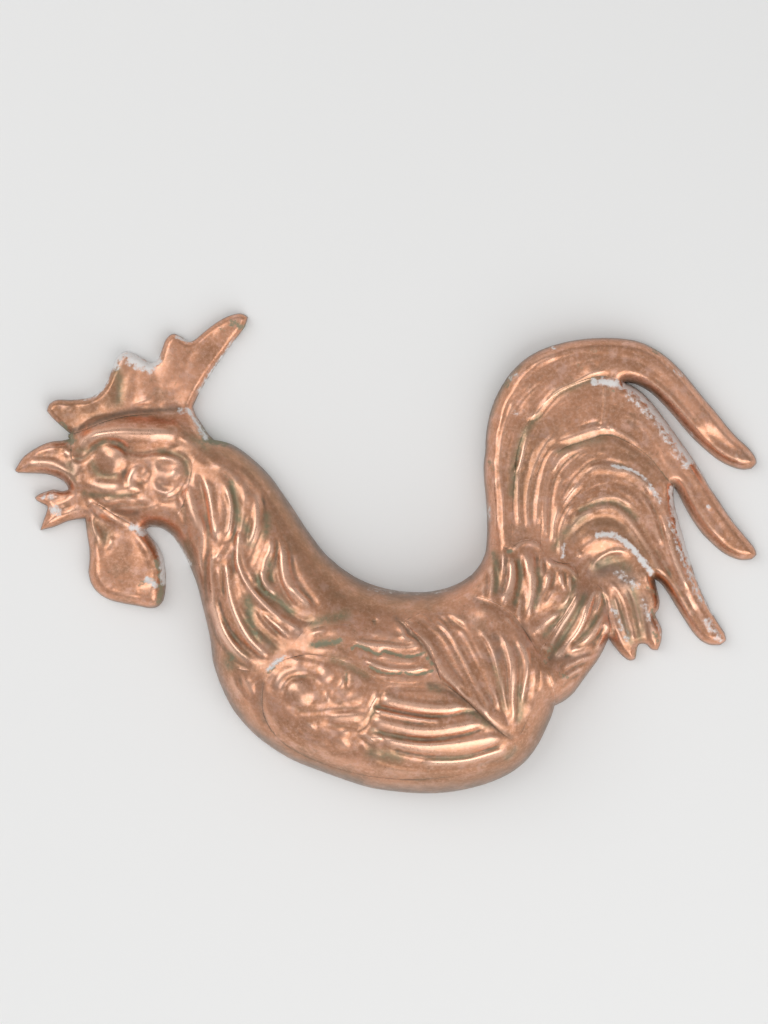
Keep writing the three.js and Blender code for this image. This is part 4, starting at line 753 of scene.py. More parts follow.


# Places of the stains, and of the painted shadow along the joints: strength, reach and a line on the plan
stainsAndShadows = dict(
    olive=[
        (0.8, 9, [(-84, 53), (-66, 44), (-54, 30), (-44, 12), (-36, -2), (-24, -16)]),
        (0.7, 8, [(-30, -10), (-16, -20), (0, -22), (20, -22)]),
        (0.45, 8, [(-168, 72), (-150, 70), (-138, 76), (-134, 88)]), (0.5, 4, [(-75, 30), (-74, 20)]),
        (0.5, 3.4, [(-60.6, 24), (-61, 12)]), (0.6, 3.4, [(-63, -14), (-58, -21), (-50, -26), (-40, -32)]),
        (0.5, 4, [(-68, -26), (-62, -38), (-52, -46)]), (0.5, 3.4, [(-76, -42), (-68, -50)]),
        (0.5, 5, [(-79, -53), (-70, -56)]), (0.4, 6, [(-4, -100), (4, -99)]),
        (0.6, 4.4, [(90, 8), (100, 14), (114, 14), (126, 3), (136, -14), (142, -24)]),
        (0.5, 5, [(108, -10), (116, -10), (124, -20), (128, -36)]),
        (0.5, 4, [(97, -22), (88, -38), (80, -54)]), (0.35, 8, [(86, 44), (100, 52), (116, 50), (128, 40)]),
        (0.4, 8, [(66, 30), (70, 46), (84, 58)]), (0.35, 5, [(56, -4), (55, -16)]),
        (0.4, 7, [(0, -112), (30, -113), (56, -107), (72, -98), (80, -84)]),
        (0.35, 9, [(-74, -84), (-50, -102), (-20, -113)]),
    ],
    grey=[
        (0.75, 5, [(106, -8), (114, -10), (121, -14)]), (0.5, 3.4, [(98, -20), (92, -30), (86, -42)]),
        (0.45, 4, [(112, -26), (120, -40)]), (0.5, 3.4, [(128, -22), (131, -38)]),
        (0.5, 2.6, [(84, -51), (93, -51), (99, -49.6)]), (0.4, 2.6, [(68, -36), (70, -44)]),
        (0.6, 2.6, [(56, -48), (54, -52)]), (0.5, 2.4, [(53, -41), (57, -42)]),
        (0.4, 2.6, [(-112, 42), (-113, 36)]), (0.5, 3.4, [(-159, 44), (-155, 42)]),
        (0.4, 3, [(-46, -38), (-41, -41)]), (0.45, 2.4, [(-54, -62), (-53, -66)]),
        (0.5, 2, [(59, -3), (58, -7)]), (0.35, 3, [(-78, 19), (-75, 12)]),
    ],
    moss=[
        (0.8, 1.8, [(-76.6, 35), (-75.6, 28), (-74, 21)]),
        (0.75, 1.9, [(-73.6, 18), (-71, 15), (-68.6, 12)]),
        (0.8, 1.6, [(-59, 19), (-58.6, 14), (-60.6, 9)]), (0.85, 1.5, [(-57.4, -3), (-58, -9), (-57, -13)]),
        (0.9, 1.5, [(-63.6, -11.6), (-62, -16), (-58, -20), (-53, -22), (-50, -26), (-46.6, -29)]),
        (0.9, 1.9, [(-68.4, -22), (-67.6, -28), (-68, -33)]),
        (0.9, 1.6, [(-67, -34), (-65.6, -38), (-62, -42)]), (0.7, 2.4, [(-77, -51), (-77.6, -55)]),
        (0.6, 2.0, [(-67, 5), (-68.4, 12)]), (0.6, 1.6, [(-70, -50), (-74, -47.6)]),
        (0.5, 1.8, [(-60, -42), (-56, -46)]), (0.7, 2.2, [(-36, -34), (-28, -32), (-20, -30)]),
        (0.6, 1.6, [(-37, -45.4), (-30, -43.6), (-24, -43)]),
        (0.5, 1.6, [(-26, -52), (-18, -55.6), (-10, -60)]), (0.55, 1.4, [(-4.6, -75), (-7.4, -80)]),
        (0.6, 1.5, [(-6, -87), (0, -89), (8, -91)]), (0.6, 2.2, [(-8, -98), (0, -99.6), (6, -100.6)]),
        (0.7, 1.7, [(22, -65.6), (26, -66.4)]), (0.75, 1.6, [(40, -77.6), (46, -80.6), (50, -84)]),
        (0.6, 1.4, [(24, -101.6), (34, -101.2), (42, -100)]), (0.5, 1.6, [(64, -97), (60, -101)]),
        (0.7, 1.5, [(66, -66), (67, -74), (66, -82)]), (0.55, 1.4, [(54, -56), (57, -66), (59, -76)]),
        (0.7, 1.5, [(53.6, 0), (55, -8), (54, -18)]), (0.7, 1.4, [(66, -4), (66.6, -13), (64, -24)]),
        (0.7, 1.4, [(75.6, -8), (76, -16), (74, -26)]),
        (0.7, 1.5, [(93, -12), (92, -20), (86, -30), (79, -40)]),
        (0.7, 1.6, [(98, -22), (92, -34), (84, -48)]), (0.7, 1.5, [(108, -21), (104, -33), (96, -44)]),
        (0.6, 1.6, [(114, -24), (118, -34), (122, -44)]), (0.6, 2.2, [(104, -6), (112, -3.4), (120, -7)]),
        (0.6, 1.6, [(123, -18), (125, -30), (127, -42)]), (0.6, 1.8, [(84, 3), (90, 12), (98, 19)]),
        (0.65, 1.5, [(62.6, 30), (64, 44), (68, 58), (76, 69)]),
        (0.55, 1.4, [(86, 51), (96, 54.4), (108, 57.4)]),
        (0.6, 1.5, [(97, 21.6), (106, 25.4), (116, 24.6), (124, 18)]),
        (0.5, 1.5, [(52, 70), (57, 82), (66, 93)]), (0.55, 1.6, [(84, 79), (94, 83.6), (104, 87)]),
        (0.5, 1.6, [(-99, 5), (-97, -6), (-94, -20)]), (0.6, 1.5, [(-150, 30), (-140, 28.6), (-128, 29)]),
        (0.6, 1.4, [(-112, 50.6), (-101, 48), (-98.6, 40)]),
        (0.6, 1.6, [(-146, 45), (-143, 40), (-135, 38.6)]),
        (0.6, 1.8, [(-153, 51), (-146, 52), (-140, 56)]), (0.55, 2.0, [(-96, 57), (-90, 53)]),
        (0.6, 1.8, [(-134, 92), (-132.6, 84), (-133, 76)]), (0.5, 3.0, [(-147, 14), (-141, 9)]),
        (0.45, 2.2, [(-157, 44), (-156, 36)]),
    ],
    # painted shadow along the joints, laps and valleys, where one part stands over another
    jointShadow=[
        (0.9, 1.7, [(-157, 61), (-147, 64.6), (-132, 69.6), (-115, 71.4), (-103, 72)]),
        (0.8, 2.0, [(-136, 22), (-130, 20.6), (-124, 20.4)]),
        (0.7, 1.8, [(-118, 15.4), (-112, 15), (-106, 10)]),
        (0.7, 1.5, [(5, -32), (11, -37.4), (17, -43), (21, -49), (25, -57)]),
        (0.7, 1.5, [(21, -64.4), (29, -66.6), (35, -70), (41, -74), (48, -80.6), (56, -87), (62, -90.6)]),
        (0.6, 1.4, [(-61, -64), (-62, -74), (-60, -83)]), (0.7, 1.6, [(120, 86.4), (126, 84.4), (132, 80)]),
        (0.6, 1.4, [(133, -14), (138, -17), (142, -23)]), (0.7, 1.4, [(142, 36), (146, 33)]),
    ],
    verdigris=[
        (1.0, 2.4, [(-158.6, 59), (-157, 56.4)]), (0.8, 1.6, [(-163, 64.6), (-158.6, 60.6)]),
        (0.9, 2.2, [(-90, 57), (-84, 56), (-81, 55.6)]), (0.8, 2.2, [(-92, 62), (-90, 58)]),
        (0.9, 1.5, [(-114, -4), (-112.4, -12), (-112.6, -20), (-113.6, -24)]),
        (0.6, 1.6, [(-122, -15), (-118, -13), (-115, -14)]),
        (0.95, 1.3, [(-36, -45), (-31, -44), (-25, -43.6), (-22.6, -42.6)]),
        (0.95, 0.9, [(-17, -47), (-15, -45.2), (-11.8, -45.8), (-8.5, -47.5), (-3.8, -49.6),
            (-1.5, -47.9)]),
        (0.95, 0.9, [(-1.5, -47.9), (5.4, -49.6), (12.3, -50.8), (19.2, -48.8)]),
        (0.85, 0.8, [(-8, -55.4), (-3, -58), (2, -59), (8, -58.6), (16, -59.4), (23, -57.6)]),
        (0.6, 1.0, [(20, -51), (24, -56)]), (0.5, 1.2, [(-19.4, -62), (-20, -58)]),
        (0.5, 1.4, [(-63, -14), (-58, -20), (-50, -26)]), (0.5, 1.2, [(-66, -36), (-64, -39)]),
        (0.6, 1.4, [(60.6, 1.4), (62.6, 1)]), (0.5, 1.6, [(63, 88), (60, 84)]),
        (0.6, 1.4, [(134, 101), (137, 100)]), (0.5, 1.2, [(130, -17), (134.6, -20)]),
        (0.7, 1.6, [(134, -40), (136, -43)]), (0.6, 1.2, [(132.6, -27), (134, -32)]),
        (0.6, 1.4, [(125.6, -46), (125.4, -51)]), (0.7, 2.2, [(-76, 115), (-71, 113)]),
        (0.5, 1.2, [(-82.4, 112), (-81, 111)]), (0.55, 1.6, [(82, -46), (79, -53)]),
        (0.5, 1.4, [(86, -60), (90, -61)]), (0.5, 1.0, [(113, 81), (110, 82)]),
        (0.5, 1.2, [(51.6, 46), (53, 42)]), (0.5, 1.4, [(-56, -56), (-58, -58)]),
        (0.4, 1.4, [(102, 102), (104, 101)]), (0.4, 1.4, [(95.6, 93.6), (97, 93)]),
        (0.5, 1.4, [(-78, -54), (-76, -52)]),
    ],
    chalk=[
        (1.0, 2.2, [(-136, 94), (-133, 98.6), (-129, 99.8), (-124.6, 97.4), (-120.6, 94.4), (-117, 94.4),
            (-114.6, 96.6)]),
        (1.0, 2.6, [(-127, 97.4), (-122, 94.6), (-117.6, 93.6)]), (0.9, 1.5, [(-123, 95.6), (-120, 93)]),
        (0.8, 1.0, [(-104, 108.4), (-101, 106.6), (-98, 106)]),
        (0.7, 1.0, [(-150, 77.4), (-144.6, 79.6), (-141, 83), (-139, 87)]),
        (0.8, 1.2, [(-98, 71), (-95, 66), (-92, 61), (-89.6, 58)]), (0.7, 1.2, [(-103, 71), (-99, 71.4)]),
        (0.65, 1.1, [(-94, 80), (-88, 89), (-82, 98), (-75, 107)]),
        (0.9, 1.5, [(-127, 13.6), (-123, 11.6), (-120.6, 10.4)]),
        (0.85, 1.4, [(-118, 11), (-113.6, 4), (-111.6, -4), (-111, -14)]),
        (0.75, 1.4, [(-117, 12.4), (-112, 11.4), (-106.6, 7), (-102, 1), (-98.6, -5)]),
        (0.8, 2.0, [(-165.6, 22), (-164.4, 21)]), (0.6, 1.8, [(-170, 28.4), (-165, 29.4)]),
        (0.6, 1.4, [(-162, 35.6), (-159.6, 33)]), (0.8, 1.6, [(-119, -13), (-115.6, -15)]),
        (0.8, 0.9, [(-58.6, -57), (-55, -54), (-50, -50.4)]),
        (0.9, 1.6, [(104, 85.6), (110, 85.6), (117, 83.6), (123.6, 81.4)]),
        (1.0, 1.5, [(120, 83.6), (124, 81.4), (128.6, 77.4), (134, 71), (141, 61.4), (147, 53), (152, 46)]),
        (0.5, 2.4, [(122, 78), (130, 71), (138, 60), (145, 50), (150, 43)]),
        (0.5, 2.0, [(141, 18), (146, 4), (151, -10), (157, -24)]), (0.6, 2.0, [(160, -34), (166, -42)]),
        (0.45, 2.4, [(116, -10), (124, -16)]), (0.5, 1.6, [(128, -24), (132, -34)]),
        (0.4, 2.0, [(113, -28), (120, -42)]), (0.6, 1.0, [(153, 47), (158.6, 39), (163, 31.6)]),
        (0.5, 1.0, [(168, 24), (174, 16)]),
        (0.95, 1.4, [(142.4, 32), (142.8, 25), (145.2, 16), (148.4, 5), (151.6, -5)]),
        (0.6, 1.0, [(154, -9), (158, -19), (163, -30)]),
        (0.75, 0.8, [(112.6, 43.8), (119, 42.6), (126, 39.4), (132, 34.4)]),
        (0.55, 1.2, [(131.6, 33), (136.6, 26)]),
        (0.95, 1.2, [(105, 9.4), (110, 9.8), (116, 8), (121.6, 3.6), (127, -2.6), (132, -9.6)]),
        (0.6, 1.0, [(88.6, 5), (87.8, -2)]), (0.5, 0.8, [(83, 103), (84.6, 101.6)]),
        (0.5, 1.4, [(62.6, 87.6), (64.6, 89)]), (0.5, 1.2, [(51, 24), (51.6, 17)]),
        (0.5, 1.2, [(144, 91), (147, 89)]), (0.5, 1.0, [(135.6, -36), (137.4, -41)]),
        (0.5, 1.0, [(160.4, 23.6), (161, 22.6)]), (0.4, 1.0, [(152, 60), (153, 58.6)]),
        (0.35, 1.6, [(-8, -18), (6, -19), (20, -19.4), (32, -17)]),
        (0.3, 1.0, [(173.8, 50.6), (175.4, 47)]), (0.4, 1.2, [(63, 70.6), (65, 70)]),
    ],
)

# How far each stain and the painted shadow reach past their lines, as a multiple of the reach in the table
stainAndShadowReach = dict(olive=1.0, grey=1.1, moss=1.3, jointShadow=1.0, verdigris=1.2, chalk=1.4)

# Colours of the copper. The clean colour is rubbed copper and also a painted highlight on crests and
# swellings; the dark one is painted shade in the hollows, with some dark patina; the grime colour is grime
# and painted shade on the steep walls; the dirt colour is a painted shadow along the joints, laps and
# valleys.
copperLook = dict(
    cleanAndSheen=(0.97, 0.60, 0.44), worn=(0.80, 0.40, 0.25), brown=(0.56, 0.27, 0.155), rose=(0.84, 0.52, 0.42),
    umber=(0.42, 0.25, 0.16), dark=(0.105, 0.066, 0.045), wallGrimeAndShade=(0.19, 0.125, 0.085),
    inside=(0.36, 0.215, 0.145), olive=(0.30, 0.185, 0.105), grey=(0.36, 0.27, 0.23),
    moss=(0.24, 0.215, 0.13), jointShadow=(0.15, 0.095, 0.06), verdigris=(0.25, 0.24, 0.155),
    chalk=(0.80, 0.79, 0.78),
)

# Noises on the copper: size in millimetres, detail, roughness
copperNoise = dict(
    cloud=(24, 5, 0.6), patch=(9, 5, 0.62), fine=(2.6, 6, 0.65), grain=(0.7, 4, 0.6),
    blush=(6, 5, 0.65), shade=(13, 5, 0.65), rub=(1.6, 5, 0.7), fleck=(2.2, 5, 0.7),
)

# Mottling, in the order it is laid: a noise, a colour, where it starts, where it is full, how strong
mottling = [
    ("patch", "brown", 0.5, 0.72, 0.5), ("blush", "rose", 0.5, 0.68, 0.55),
    ("shade", "umber", 0.53, 0.68, 0.5), ("rub", "cleanAndSheen", 0.42, 0.7, 0.5),
    ("fleck", "olive", 0.56, 0.75, 0.5),
]

# What a noise, a form or a stain becomes: from, to, and its values there
copperRange = dict(
    base=(0.36, 0.64, 0, 1), crest=(0, 0.26, 0, 0.85), swelling=(0, 0.8, 0, 0.7),
    rubbed=(0.25, 0.6, 0.6, 1), stained=(0.3, 0.6, 0.5, 1), pit=(0, -0.3, 0, 0.7),
    dip=(-0.1, -1.2, 0, 0.5), darkened=(0.3, 0.62, 0.6, 1.1), mossy=(0.3, 0.62, 0.55, 1.25),
    sheltered=(0.22, -0.02, 0.1, 1), mossInPits=(0.4, 0.6, 0.1, 0.7), steep=(0.3, 0.8, 0, 0.85),
    grimeAndShadePatchy=(0.32, 0.62, 0.75, 1.1), jointShadowPatchy=(0.3, 0.6, 0.7, 1), unpolished=(0.3, 0.7, 0.95, 0.6),
    crustEdge=(0.02, 0.35, 0, 1), crusted=(0.18, 0.68, 0, 0.92), rough=(0.3, 0.7, 0.28, 0.42),
)
copperShare = dict(
    mark=0.8, crestClear=0.7, shadedHollow=0.78, mossMost=0.9, breakFine=1.6, breakGrain=0.3, breakLevel=0.95,
    breakWidth=1.2, crust=0.78, shadeAndTarnish=0.8, mossTarnish=0.4,
)
copperRough = dict(shadedHollow=0.25, raised=0.07, crust=0.35, inside=0.18, dull=0.06)
copperBump = dict(strength=0.3, depth=0.35, grain=0.35)


def makeCopper(name, look, dullness):
    material, tree, shader = startMaterial(name)
    noise = {key: noiseIn(tree, *values) for key, values in copperNoise.items()}
    given = {key: attributeIn(tree, key) for key in (*formReach, "wall", "backFace", *stainsAndShadows)}
    patch, fine = noise["patch"], noise["fine"]

    def ranged(value, key):
        return rangeIn(tree, value, *copperRange[key])

    def times(*values):
        return mathIn(tree, "MULTIPLY", *values)

    def plus(*values):
        return mathIn(tree, "ADD", *values)

    def minus(*values):
        return mathIn(tree, "SUBTRACT", *values)

    def most(*values):
        return mathIn(tree, "MAXIMUM", *values)

    def atMost(value, limit):
        return mathIn(tree, "MINIMUM", value, limit)

    tone = mixIn(tree, ranged(noise["cloud"], "base"), look["brown"], look["worn"])
    for key, tint, low, high, strength in mottling:
        tone = mixIn(tree, rangeIn(tree, noise[key], low, high, 0, strength), tone, look[tint])

    # brighter on the crests and swellings, partly rubbed copper and partly a painted highlight; darker in
    # the hollows with painted shade and some dark patina, and mossy there
    crest = ranged(given["smallForm"], "crest")
    raised = plus(crest, ranged(given["wideForm"], "swelling"))
    raised = atMost(times(raised, ranged(fine, "rubbed")), 1.0)
    tone = mixIn(tree, times(raised, 1.0 - dullness), tone, look["cleanAndSheen"])
    clear = minus(1.0, times(crest, copperShare["crestClear"]))
    for mark in ("olive", "grey"):
        share = times(given[mark], ranged(patch, "stained"), clear)
        tone = mixIn(tree, times(share, copperShare["mark"]), tone, look[mark])
    # painted shade darkens the hollows and creases, mixed with some dark patina
    shadedHollow = plus(ranged(given["smallForm"], "pit"), ranged(given["wideForm"], "dip"))
    shadedHollow = times(atMost(times(shadedHollow, ranged(fine, "darkened")), 1.0), copperShare["shadedHollow"])
    tone = mixIn(tree, shadedHollow, tone, look["dark"])
    cover = times(given["moss"], ranged(fine, "mossy"), ranged(given["smallForm"], "sheltered"))
    cover = most(cover, times(shadedHollow, ranged(patch, "mossInPits")))
    tone = mixIn(tree, atMost(cover, copperShare["mossMost"]), tone, look["moss"])
    # the steep walls are darkened, partly with grime and partly with painted shade
    wallGrimeAndShade = times(ranged(given["wall"], "steep"), ranged(patch, "grimeAndShadePatchy"))
    tone = mixIn(tree, wallGrimeAndShade, tone, look["wallGrimeAndShade"])
    # a painted shadow along the joints, laps and valleys
    jointShadowShare = times(given["jointShadow"], ranged(fine, "jointShadowPatchy"))
    tone = mixIn(tree, jointShadowShare, tone, look["jointShadow"])
    # the inside was never polished
    inner = times(given["backFace"], ranged(noise["cloud"], "unpolished"))
    tone = mixIn(tree, inner, tone, look["inside"])

    # a crust with broken edges
    broken = plus(times(fine, copperShare["breakFine"]), times(noise["grain"], copperShare["breakGrain"]))
    broken = times(minus(broken, copperShare["breakLevel"]), copperShare["breakWidth"])
    crust = 0.0
    for mark in ("verdigris", "chalk"):
        edge = times(broken, ranged(given[mark], "crustEdge"))
        share = ranged(plus(times(given[mark], copperShare["crust"]), edge), "crusted")
        tone = mixIn(tree, share, tone, look[mark])
        crust = most(share, crust)
    tree.links.new(tone, shader.inputs["Base Color"])

    # the painted shade, grime and thick tarnish in the hollows and on the walls, the painted shadow along
    # the joints and the moss are no longer bright metal
    shadeAndTarnish = times(most(shadedHollow, wallGrimeAndShade, jointShadowShare), copperShare["shadeAndTarnish"])
    shadeAndTarnish = most(shadeAndTarnish, times(cover, copperShare["mossTarnish"]))
    tree.links.new(minus(1.0, most(crust, shadeAndTarnish)), shader.inputs["Metallic"])
    rough = plus(ranged(fine, "rough"), times(shadedHollow, copperRough["shadedHollow"]))
    rough = minus(rough, times(raised, copperRough["raised"]))
    rough = plus(rough, times(crust, copperRough["crust"]), times(inner, copperRough["inside"]))
    tree.links.new(plus(rough, copperRough["dull"] * dullness), shader.inputs["Roughness"])
    bump = nodeIn(tree, "ShaderNodeBump", Strength=copperBump["strength"], Distance=copperBump["depth"] * mm)
    tree.links.new(plus(fine, times(noise["grain"], copperBump["grain"])), bump.inputs["Height"])
    tree.links.new(bump.outputs["Normal"], shader.inputs["Normal"])
    return material


finishes = dict(
    rubbed_copper=makeCopper("rubbedCopper", copperLook, dullness=0.0),
    dull_copper=makeCopper("dullCopper", copperLook, dullness=0.35),
)

solderLook = dict(
    dark=(0.30, 0.31, 0.30), light=(0.52, 0.53, 0.52), mottle=(2.5, 4.0, 0.5), mottled=(0.35, 0.65),
    grain=(1.2, 4.0, 0.5), rough=(0.3, 0.7, 0.4, 0.65),
)


def makeSolder(look):
    material, tree, shader = startMaterial("oldSolder")
    mottled = rangeIn(tree, noiseIn(tree, *look["mottle"]), *look["mottled"])
    tree.links.new(mixIn(tree, mottled, look["dark"], look["light"]), shader.inputs["Base Color"])
    shader.inputs["Metallic"].default_value = 1.0
    rough = rangeIn(tree, noiseIn(tree, *look["grain"]), *look["rough"])
    tree.links.new(rough, shader.inputs["Roughness"])
    return material


oldSolder = makeSolder(solderLook)

# The solder was laid by hand, so each run is uneven along its length
solderRun = dict(
    depth=0.16, lump=3.4, ripple=0.9, rippleShare=0.4, detail=2.0, levels=2, seed=4.0, weld=0.001,
)


def makeRunTree(setup, material):
    tree = bpy.data.node_groups.new("solderRun", "GeometryNodeTree")
    tree.interface.new_socket("Run", in_out="INPUT", socket_type="NodeSocketGeometry")
    for name in ("Depth", "Lump", "Ripple", "Seed"):
        tree.interface.new_socket(name, in_out="INPUT", socket_type="NodeSocketFloat")
    tree.interface.new_socket("Levels", in_out="INPUT", socket_type="NodeSocketInt")
    tree.interface.new_socket("Run", in_out="OUTPUT", socket_type="NodeSocketGeometry")
    given = tree.nodes.new("NodeGroupInput").outputs
    finer = tree.nodes.new("GeometryNodeSubdivideMesh")
    tree.links.new(given["Run"], finer.inputs["Mesh"])
    tree.links.new(given["Levels"], finer.inputs["Level"])
    position = tree.nodes.new("GeometryNodeInputPosition").outputs["Position"]
    drops = []
    for size in ("Lump", "Ripple"):
        noise = nodeIn(tree, "ShaderNodeTexNoise", noise_dimensions="4D", Detail=setup["detail"])
        tree.links.new(position, noise.inputs["Vector"])
        tree.links.new(given["Seed"], noise.inputs["W"])
        tree.links.new(mathIn(tree, "DIVIDE", 1.0, given[size]), noise.inputs["Scale"])
        drops.append(noise.outputs["Fac"])
    drop = mathIn(tree, "ADD", drops[0], mathIn(tree, "MULTIPLY", drops[1], setup["rippleShare"]))
    drop = mathIn(tree, "MULTIPLY", drop, -1.0, given["Depth"])
    along = nodeIn(tree, "ShaderNodeVectorMath", operation="SCALE")
    tree.links.new(tree.nodes.new("GeometryNodeInputNormal").outputs["Normal"], along.inputs[0])
    tree.links.new(drop, along.inputs["Scale"])
    place = tree.nodes.new("GeometryNodeSetPosition")
    tree.links.new(finer.outputs["Mesh"], place.inputs["Geometry"])
    tree.links.new(along.outputs["Vector"], place.inputs["Offset"])
    whole = tree.nodes.new("GeometryNodeRealizeInstances")
    tree.links.new(place.outputs["Geometry"], whole.inputs["Geometry"])
    finish = nodeIn(tree, "GeometryNodeSetMaterial", Material=material)
    tree.links.new(whole.outputs["Geometry"], finish.inputs["Geometry"])
    tree.links.new(finish.outputs["Geometry"], tree.nodes.new("NodeGroupOutput").inputs["Run"])
    return tree


# A run of solder takes its shape from the frame, with the corners that lie together welded
def laySolder(node, tree, setup, number):
    build = bmesh.new()
    build.from_mesh(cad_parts[node].data)
    bmesh.ops.remove_doubles(build, verts=build.verts, dist=setup["weld"] * mm)
    shape = bpy.data.meshes.new(node + "_shape")
    build.to_mesh(shape)
    build.free()
    run = bpy.data.objects.new(node + "_run", shape)
    scene.collection.objects.link(run)
    live = run.modifiers.new("solderRun", "NODES")
    live.node_group = tree
    values = dict(
        Depth=setup["depth"] * mm, Lump=setup["lump"] * mm, Ripple=setup["ripple"] * mm,
        Seed=setup["seed"] + number, Levels=setup["levels"],
    )
    for item in tree.interface.items_tree:
        if item.in_out == "INPUT" and item.name in values:
            live[item.identifier] = values[item.name]
    laid = bpy.data.meshes.new_from_object(run.evaluated_get(bpy.context.evaluated_depsgraph_get()))
    run.modifiers.clear()
    run.data = laid
    laid.shade_smooth()
    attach(run, "root")
    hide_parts(node)


runTree = makeRunTree(solderRun, oldSolder)
solderNodes = [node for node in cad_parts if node.endswith("solder")]
for number, node in enumerate(solderNodes):
    laySolder(node, runTree, solderRun, number)
print("solder laid,", len(solderNodes), "runs")

# Head
comb = dict(
    finish="dull_copper", edges=["combFoot", "combRear", "combTop", "combFront"],
    ridges=[
        (0.9, 3.2, [(-129.3, 89), (-128.8, 84), (-129.6, 80), (-130.5, 76)]),
        (0.9, 1.6, [(-126.5, 74.3), (-123, 75), (-119.5, 76.3), (-116, 77)]),
        (0.8, 3.0, [(-161.5, 74), (-158.5, 72.9), (-156, 72)]), (0.6, 2.6, [(-151, 74), (-148, 72.5)]),
        (1.0, 2.6, [(-109.5, 72), (-106, 71.2)]), (1.1, 8.0, [(-105, 101), (-106, 92), (-109, 82)]),
        (0.8, 6.0, [(-122, 88), (-119, 80)]), (0.9, 5.0, [(-133, 96), (-130.5, 90)]),
        (0.8, 5.0, [(-98, 86), (-93, 95), (-86, 104)]), (0.7, 4.0, [(-86, 106), (-79, 112), (-74, 116)]),
    ],
    grooves=[
        (1.0, 4.5, [(-133.5, 92), (-132.2, 86), (-132.6, 80), (-134, 74)]),
        (1.1, 2.4, [(-127, 72), (-123, 72.8), (-119, 74.2)]),
        (0.7, 5.0, [(-152, 70), (-146, 71), (-141, 76)]), (0.8, 6.0, [(-104, 86), (-105, 80), (-109, 75)]),
        (0.5, 3.0, [(-116, 88), (-114, 82), (-115, 77)]),
        (0.4, 1.2, [(-106, 96), (-103, 94), (-101, 92.5)]),
    ],
)
face = dict(
    finish="rubbed_copper",
    edges=[
        "wattleRoot", "throatNotch", "faceToNeck", "headRear", "combFoot", "headFront", "beakRoot",
        "chinRoot",
    ],
    ridges=[
        # brow roll
        (3.8, 6.6, [(-154.5, 51), (-151.5, 55), (-145, 59.4), (-135, 61.4), (-121.5, 60.6), (-110, 60.4),
            (-103.4, 57.6)]),
        (1.9, 3.6, [(-152, 53.4), (-147, 57.2), (-136, 59.4), (-122, 59), (-110, 58.8), (-104, 56.4)]),
        (0.9, 3.0, [(-110, 64), (-106, 62.6), (-102, 59.6)]), (0.7, 2.4, [(-152.6, 52.6), (-148.6, 56.6)]),
        # eye
        (2.9, 5.6, [(-137.4, 47.4), (-136, 47)]),
        (0.8, 1.9, [(-144, 49), (-141, 52), (-136.8, 53.3), (-132.4, 51.8), (-130, 48.6)]),
        (0.6, 1.7, [(-143.4, 43.6), (-139, 40.9), (-133.4, 41.6)]),
        # ear lobe
        (1.6, 8.0, [(-108.6, 40), (-107.8, 38.6)]),
        (0.9, 1.9, [(-116.6, 35.6), (-113.2, 31.4), (-109, 29.8), (-104.6, 31.4)]),
        (0.8, 1.9, [(-113.4, 46.6), (-108.6, 47.2), (-103.8, 45.8), (-101.2, 42.4)]),
        (1.1, 2.6, [(-102.6, 43), (-105, 39.4), (-108, 37.8)]),
        # cheek
        (1.7, 2.8, [(-120.6, 44), (-124.4, 41), (-126.8, 37.4), (-126, 33.4), (-121.6, 31.4)]),
        (0.9, 2.2, [(-119, 40.5), (-121, 38)]),
        (1.9, 4.2, [(-150, 34), (-144, 32.8), (-137, 32), (-131, 31.6), (-125.5, 32)]),
        (0.7, 3.4, [(-139, 38), (-134.5, 37)]),
        (0.9, 2.4, [(-144, 27.6), (-137, 26.6), (-130, 27.4), (-123, 26.6)]),
        (1.0, 2.2, [(-134.5, 22.6), (-129, 22.6), (-122.4, 23.4)]),
        (0.6, 1.6, [(-123.6, 25), (-119.6, 27), (-115, 25.6)]),
        (0.5, 1.3, [(-120, 21.6), (-116, 23), (-112.6, 25.4)]),
        # the crest over the wattle
        (1.7, 2.2, [(-149, 27.6), (-145, 23.6), (-139.5, 19.4), (-133, 16), (-126.5, 13)]),
        # behind the brow
        (1.1, 3.6, [(-103, 56.2), (-98, 54.6), (-92, 50.6)]),
        (0.8, 2.4, [(-97.5, 66), (-94, 60), (-90, 56)]),
    ],
    grooves=[
        (2.2, 2.4, [(-157, 50.4), (-155.4, 48), (-151, 47.6), (-147.4, 50.6), (-143.6, 54.8), (-138, 56),
            (-133, 54.6), (-128.6, 51.2), (-122, 50.2), (-114, 51.2), (-107, 52.6), (-102, 53)]),
        (1.4, 3.6, [(-146.4, 46.6), (-145.4, 42), (-140.6, 38.8), (-134, 38.6), (-129, 41.6),
            (-127.2, 46)]),
        (1.3, 2.2, [(-112, 50.4), (-104.6, 49.8), (-99.4, 46.4), (-98, 40), (-100, 33.4), (-104.4, 29),
            (-109.6, 27.2), (-114.4, 29.8)]),
        (1.0, 1.8, [(-117.6, 46), (-116.4, 40.6), (-117.6, 36)]),
        (1.5, 3.0, [(-111.4, 43.8), (-108.8, 43.2)]), (1.5, 3.0, [(-111.4, 34.2), (-109.2, 33.6)]),
        (1.2, 1.8, [(-122.4, 37.4), (-121, 34.8), (-118.6, 34.4)]),
        (1.3, 2.2, [(-129.4, 43), (-130.4, 38.6), (-129.4, 35.4)]),
        (1.4, 1.8, [(-149.6, 30.2), (-143, 29), (-137, 28.4), (-131, 28.8), (-125.6, 29.6),
            (-120.6, 30.2)]),
        (1.1, 1.8, [(-148.6, 28.2), (-144, 26), (-138.6, 23.8), (-132, 24.8), (-124, 24.6),
            (-117.6, 23.6)]),
        (0.6, 1.6, [(-137.6, 20.4), (-129, 19.6), (-121, 19.4)]),
        (0.8, 2.8, [(-104.6, 56), (-98.6, 52.6), (-92, 48), (-85, 42.6)]),
        (0.9, 2.6, [(-107, 68.4), (-102.4, 65), (-99.4, 59.6), (-96, 56)]),
        (0.6, 3.0, [(-152.6, 44), (-151, 37), (-152, 30), (-151, 23)]),
    ],
)
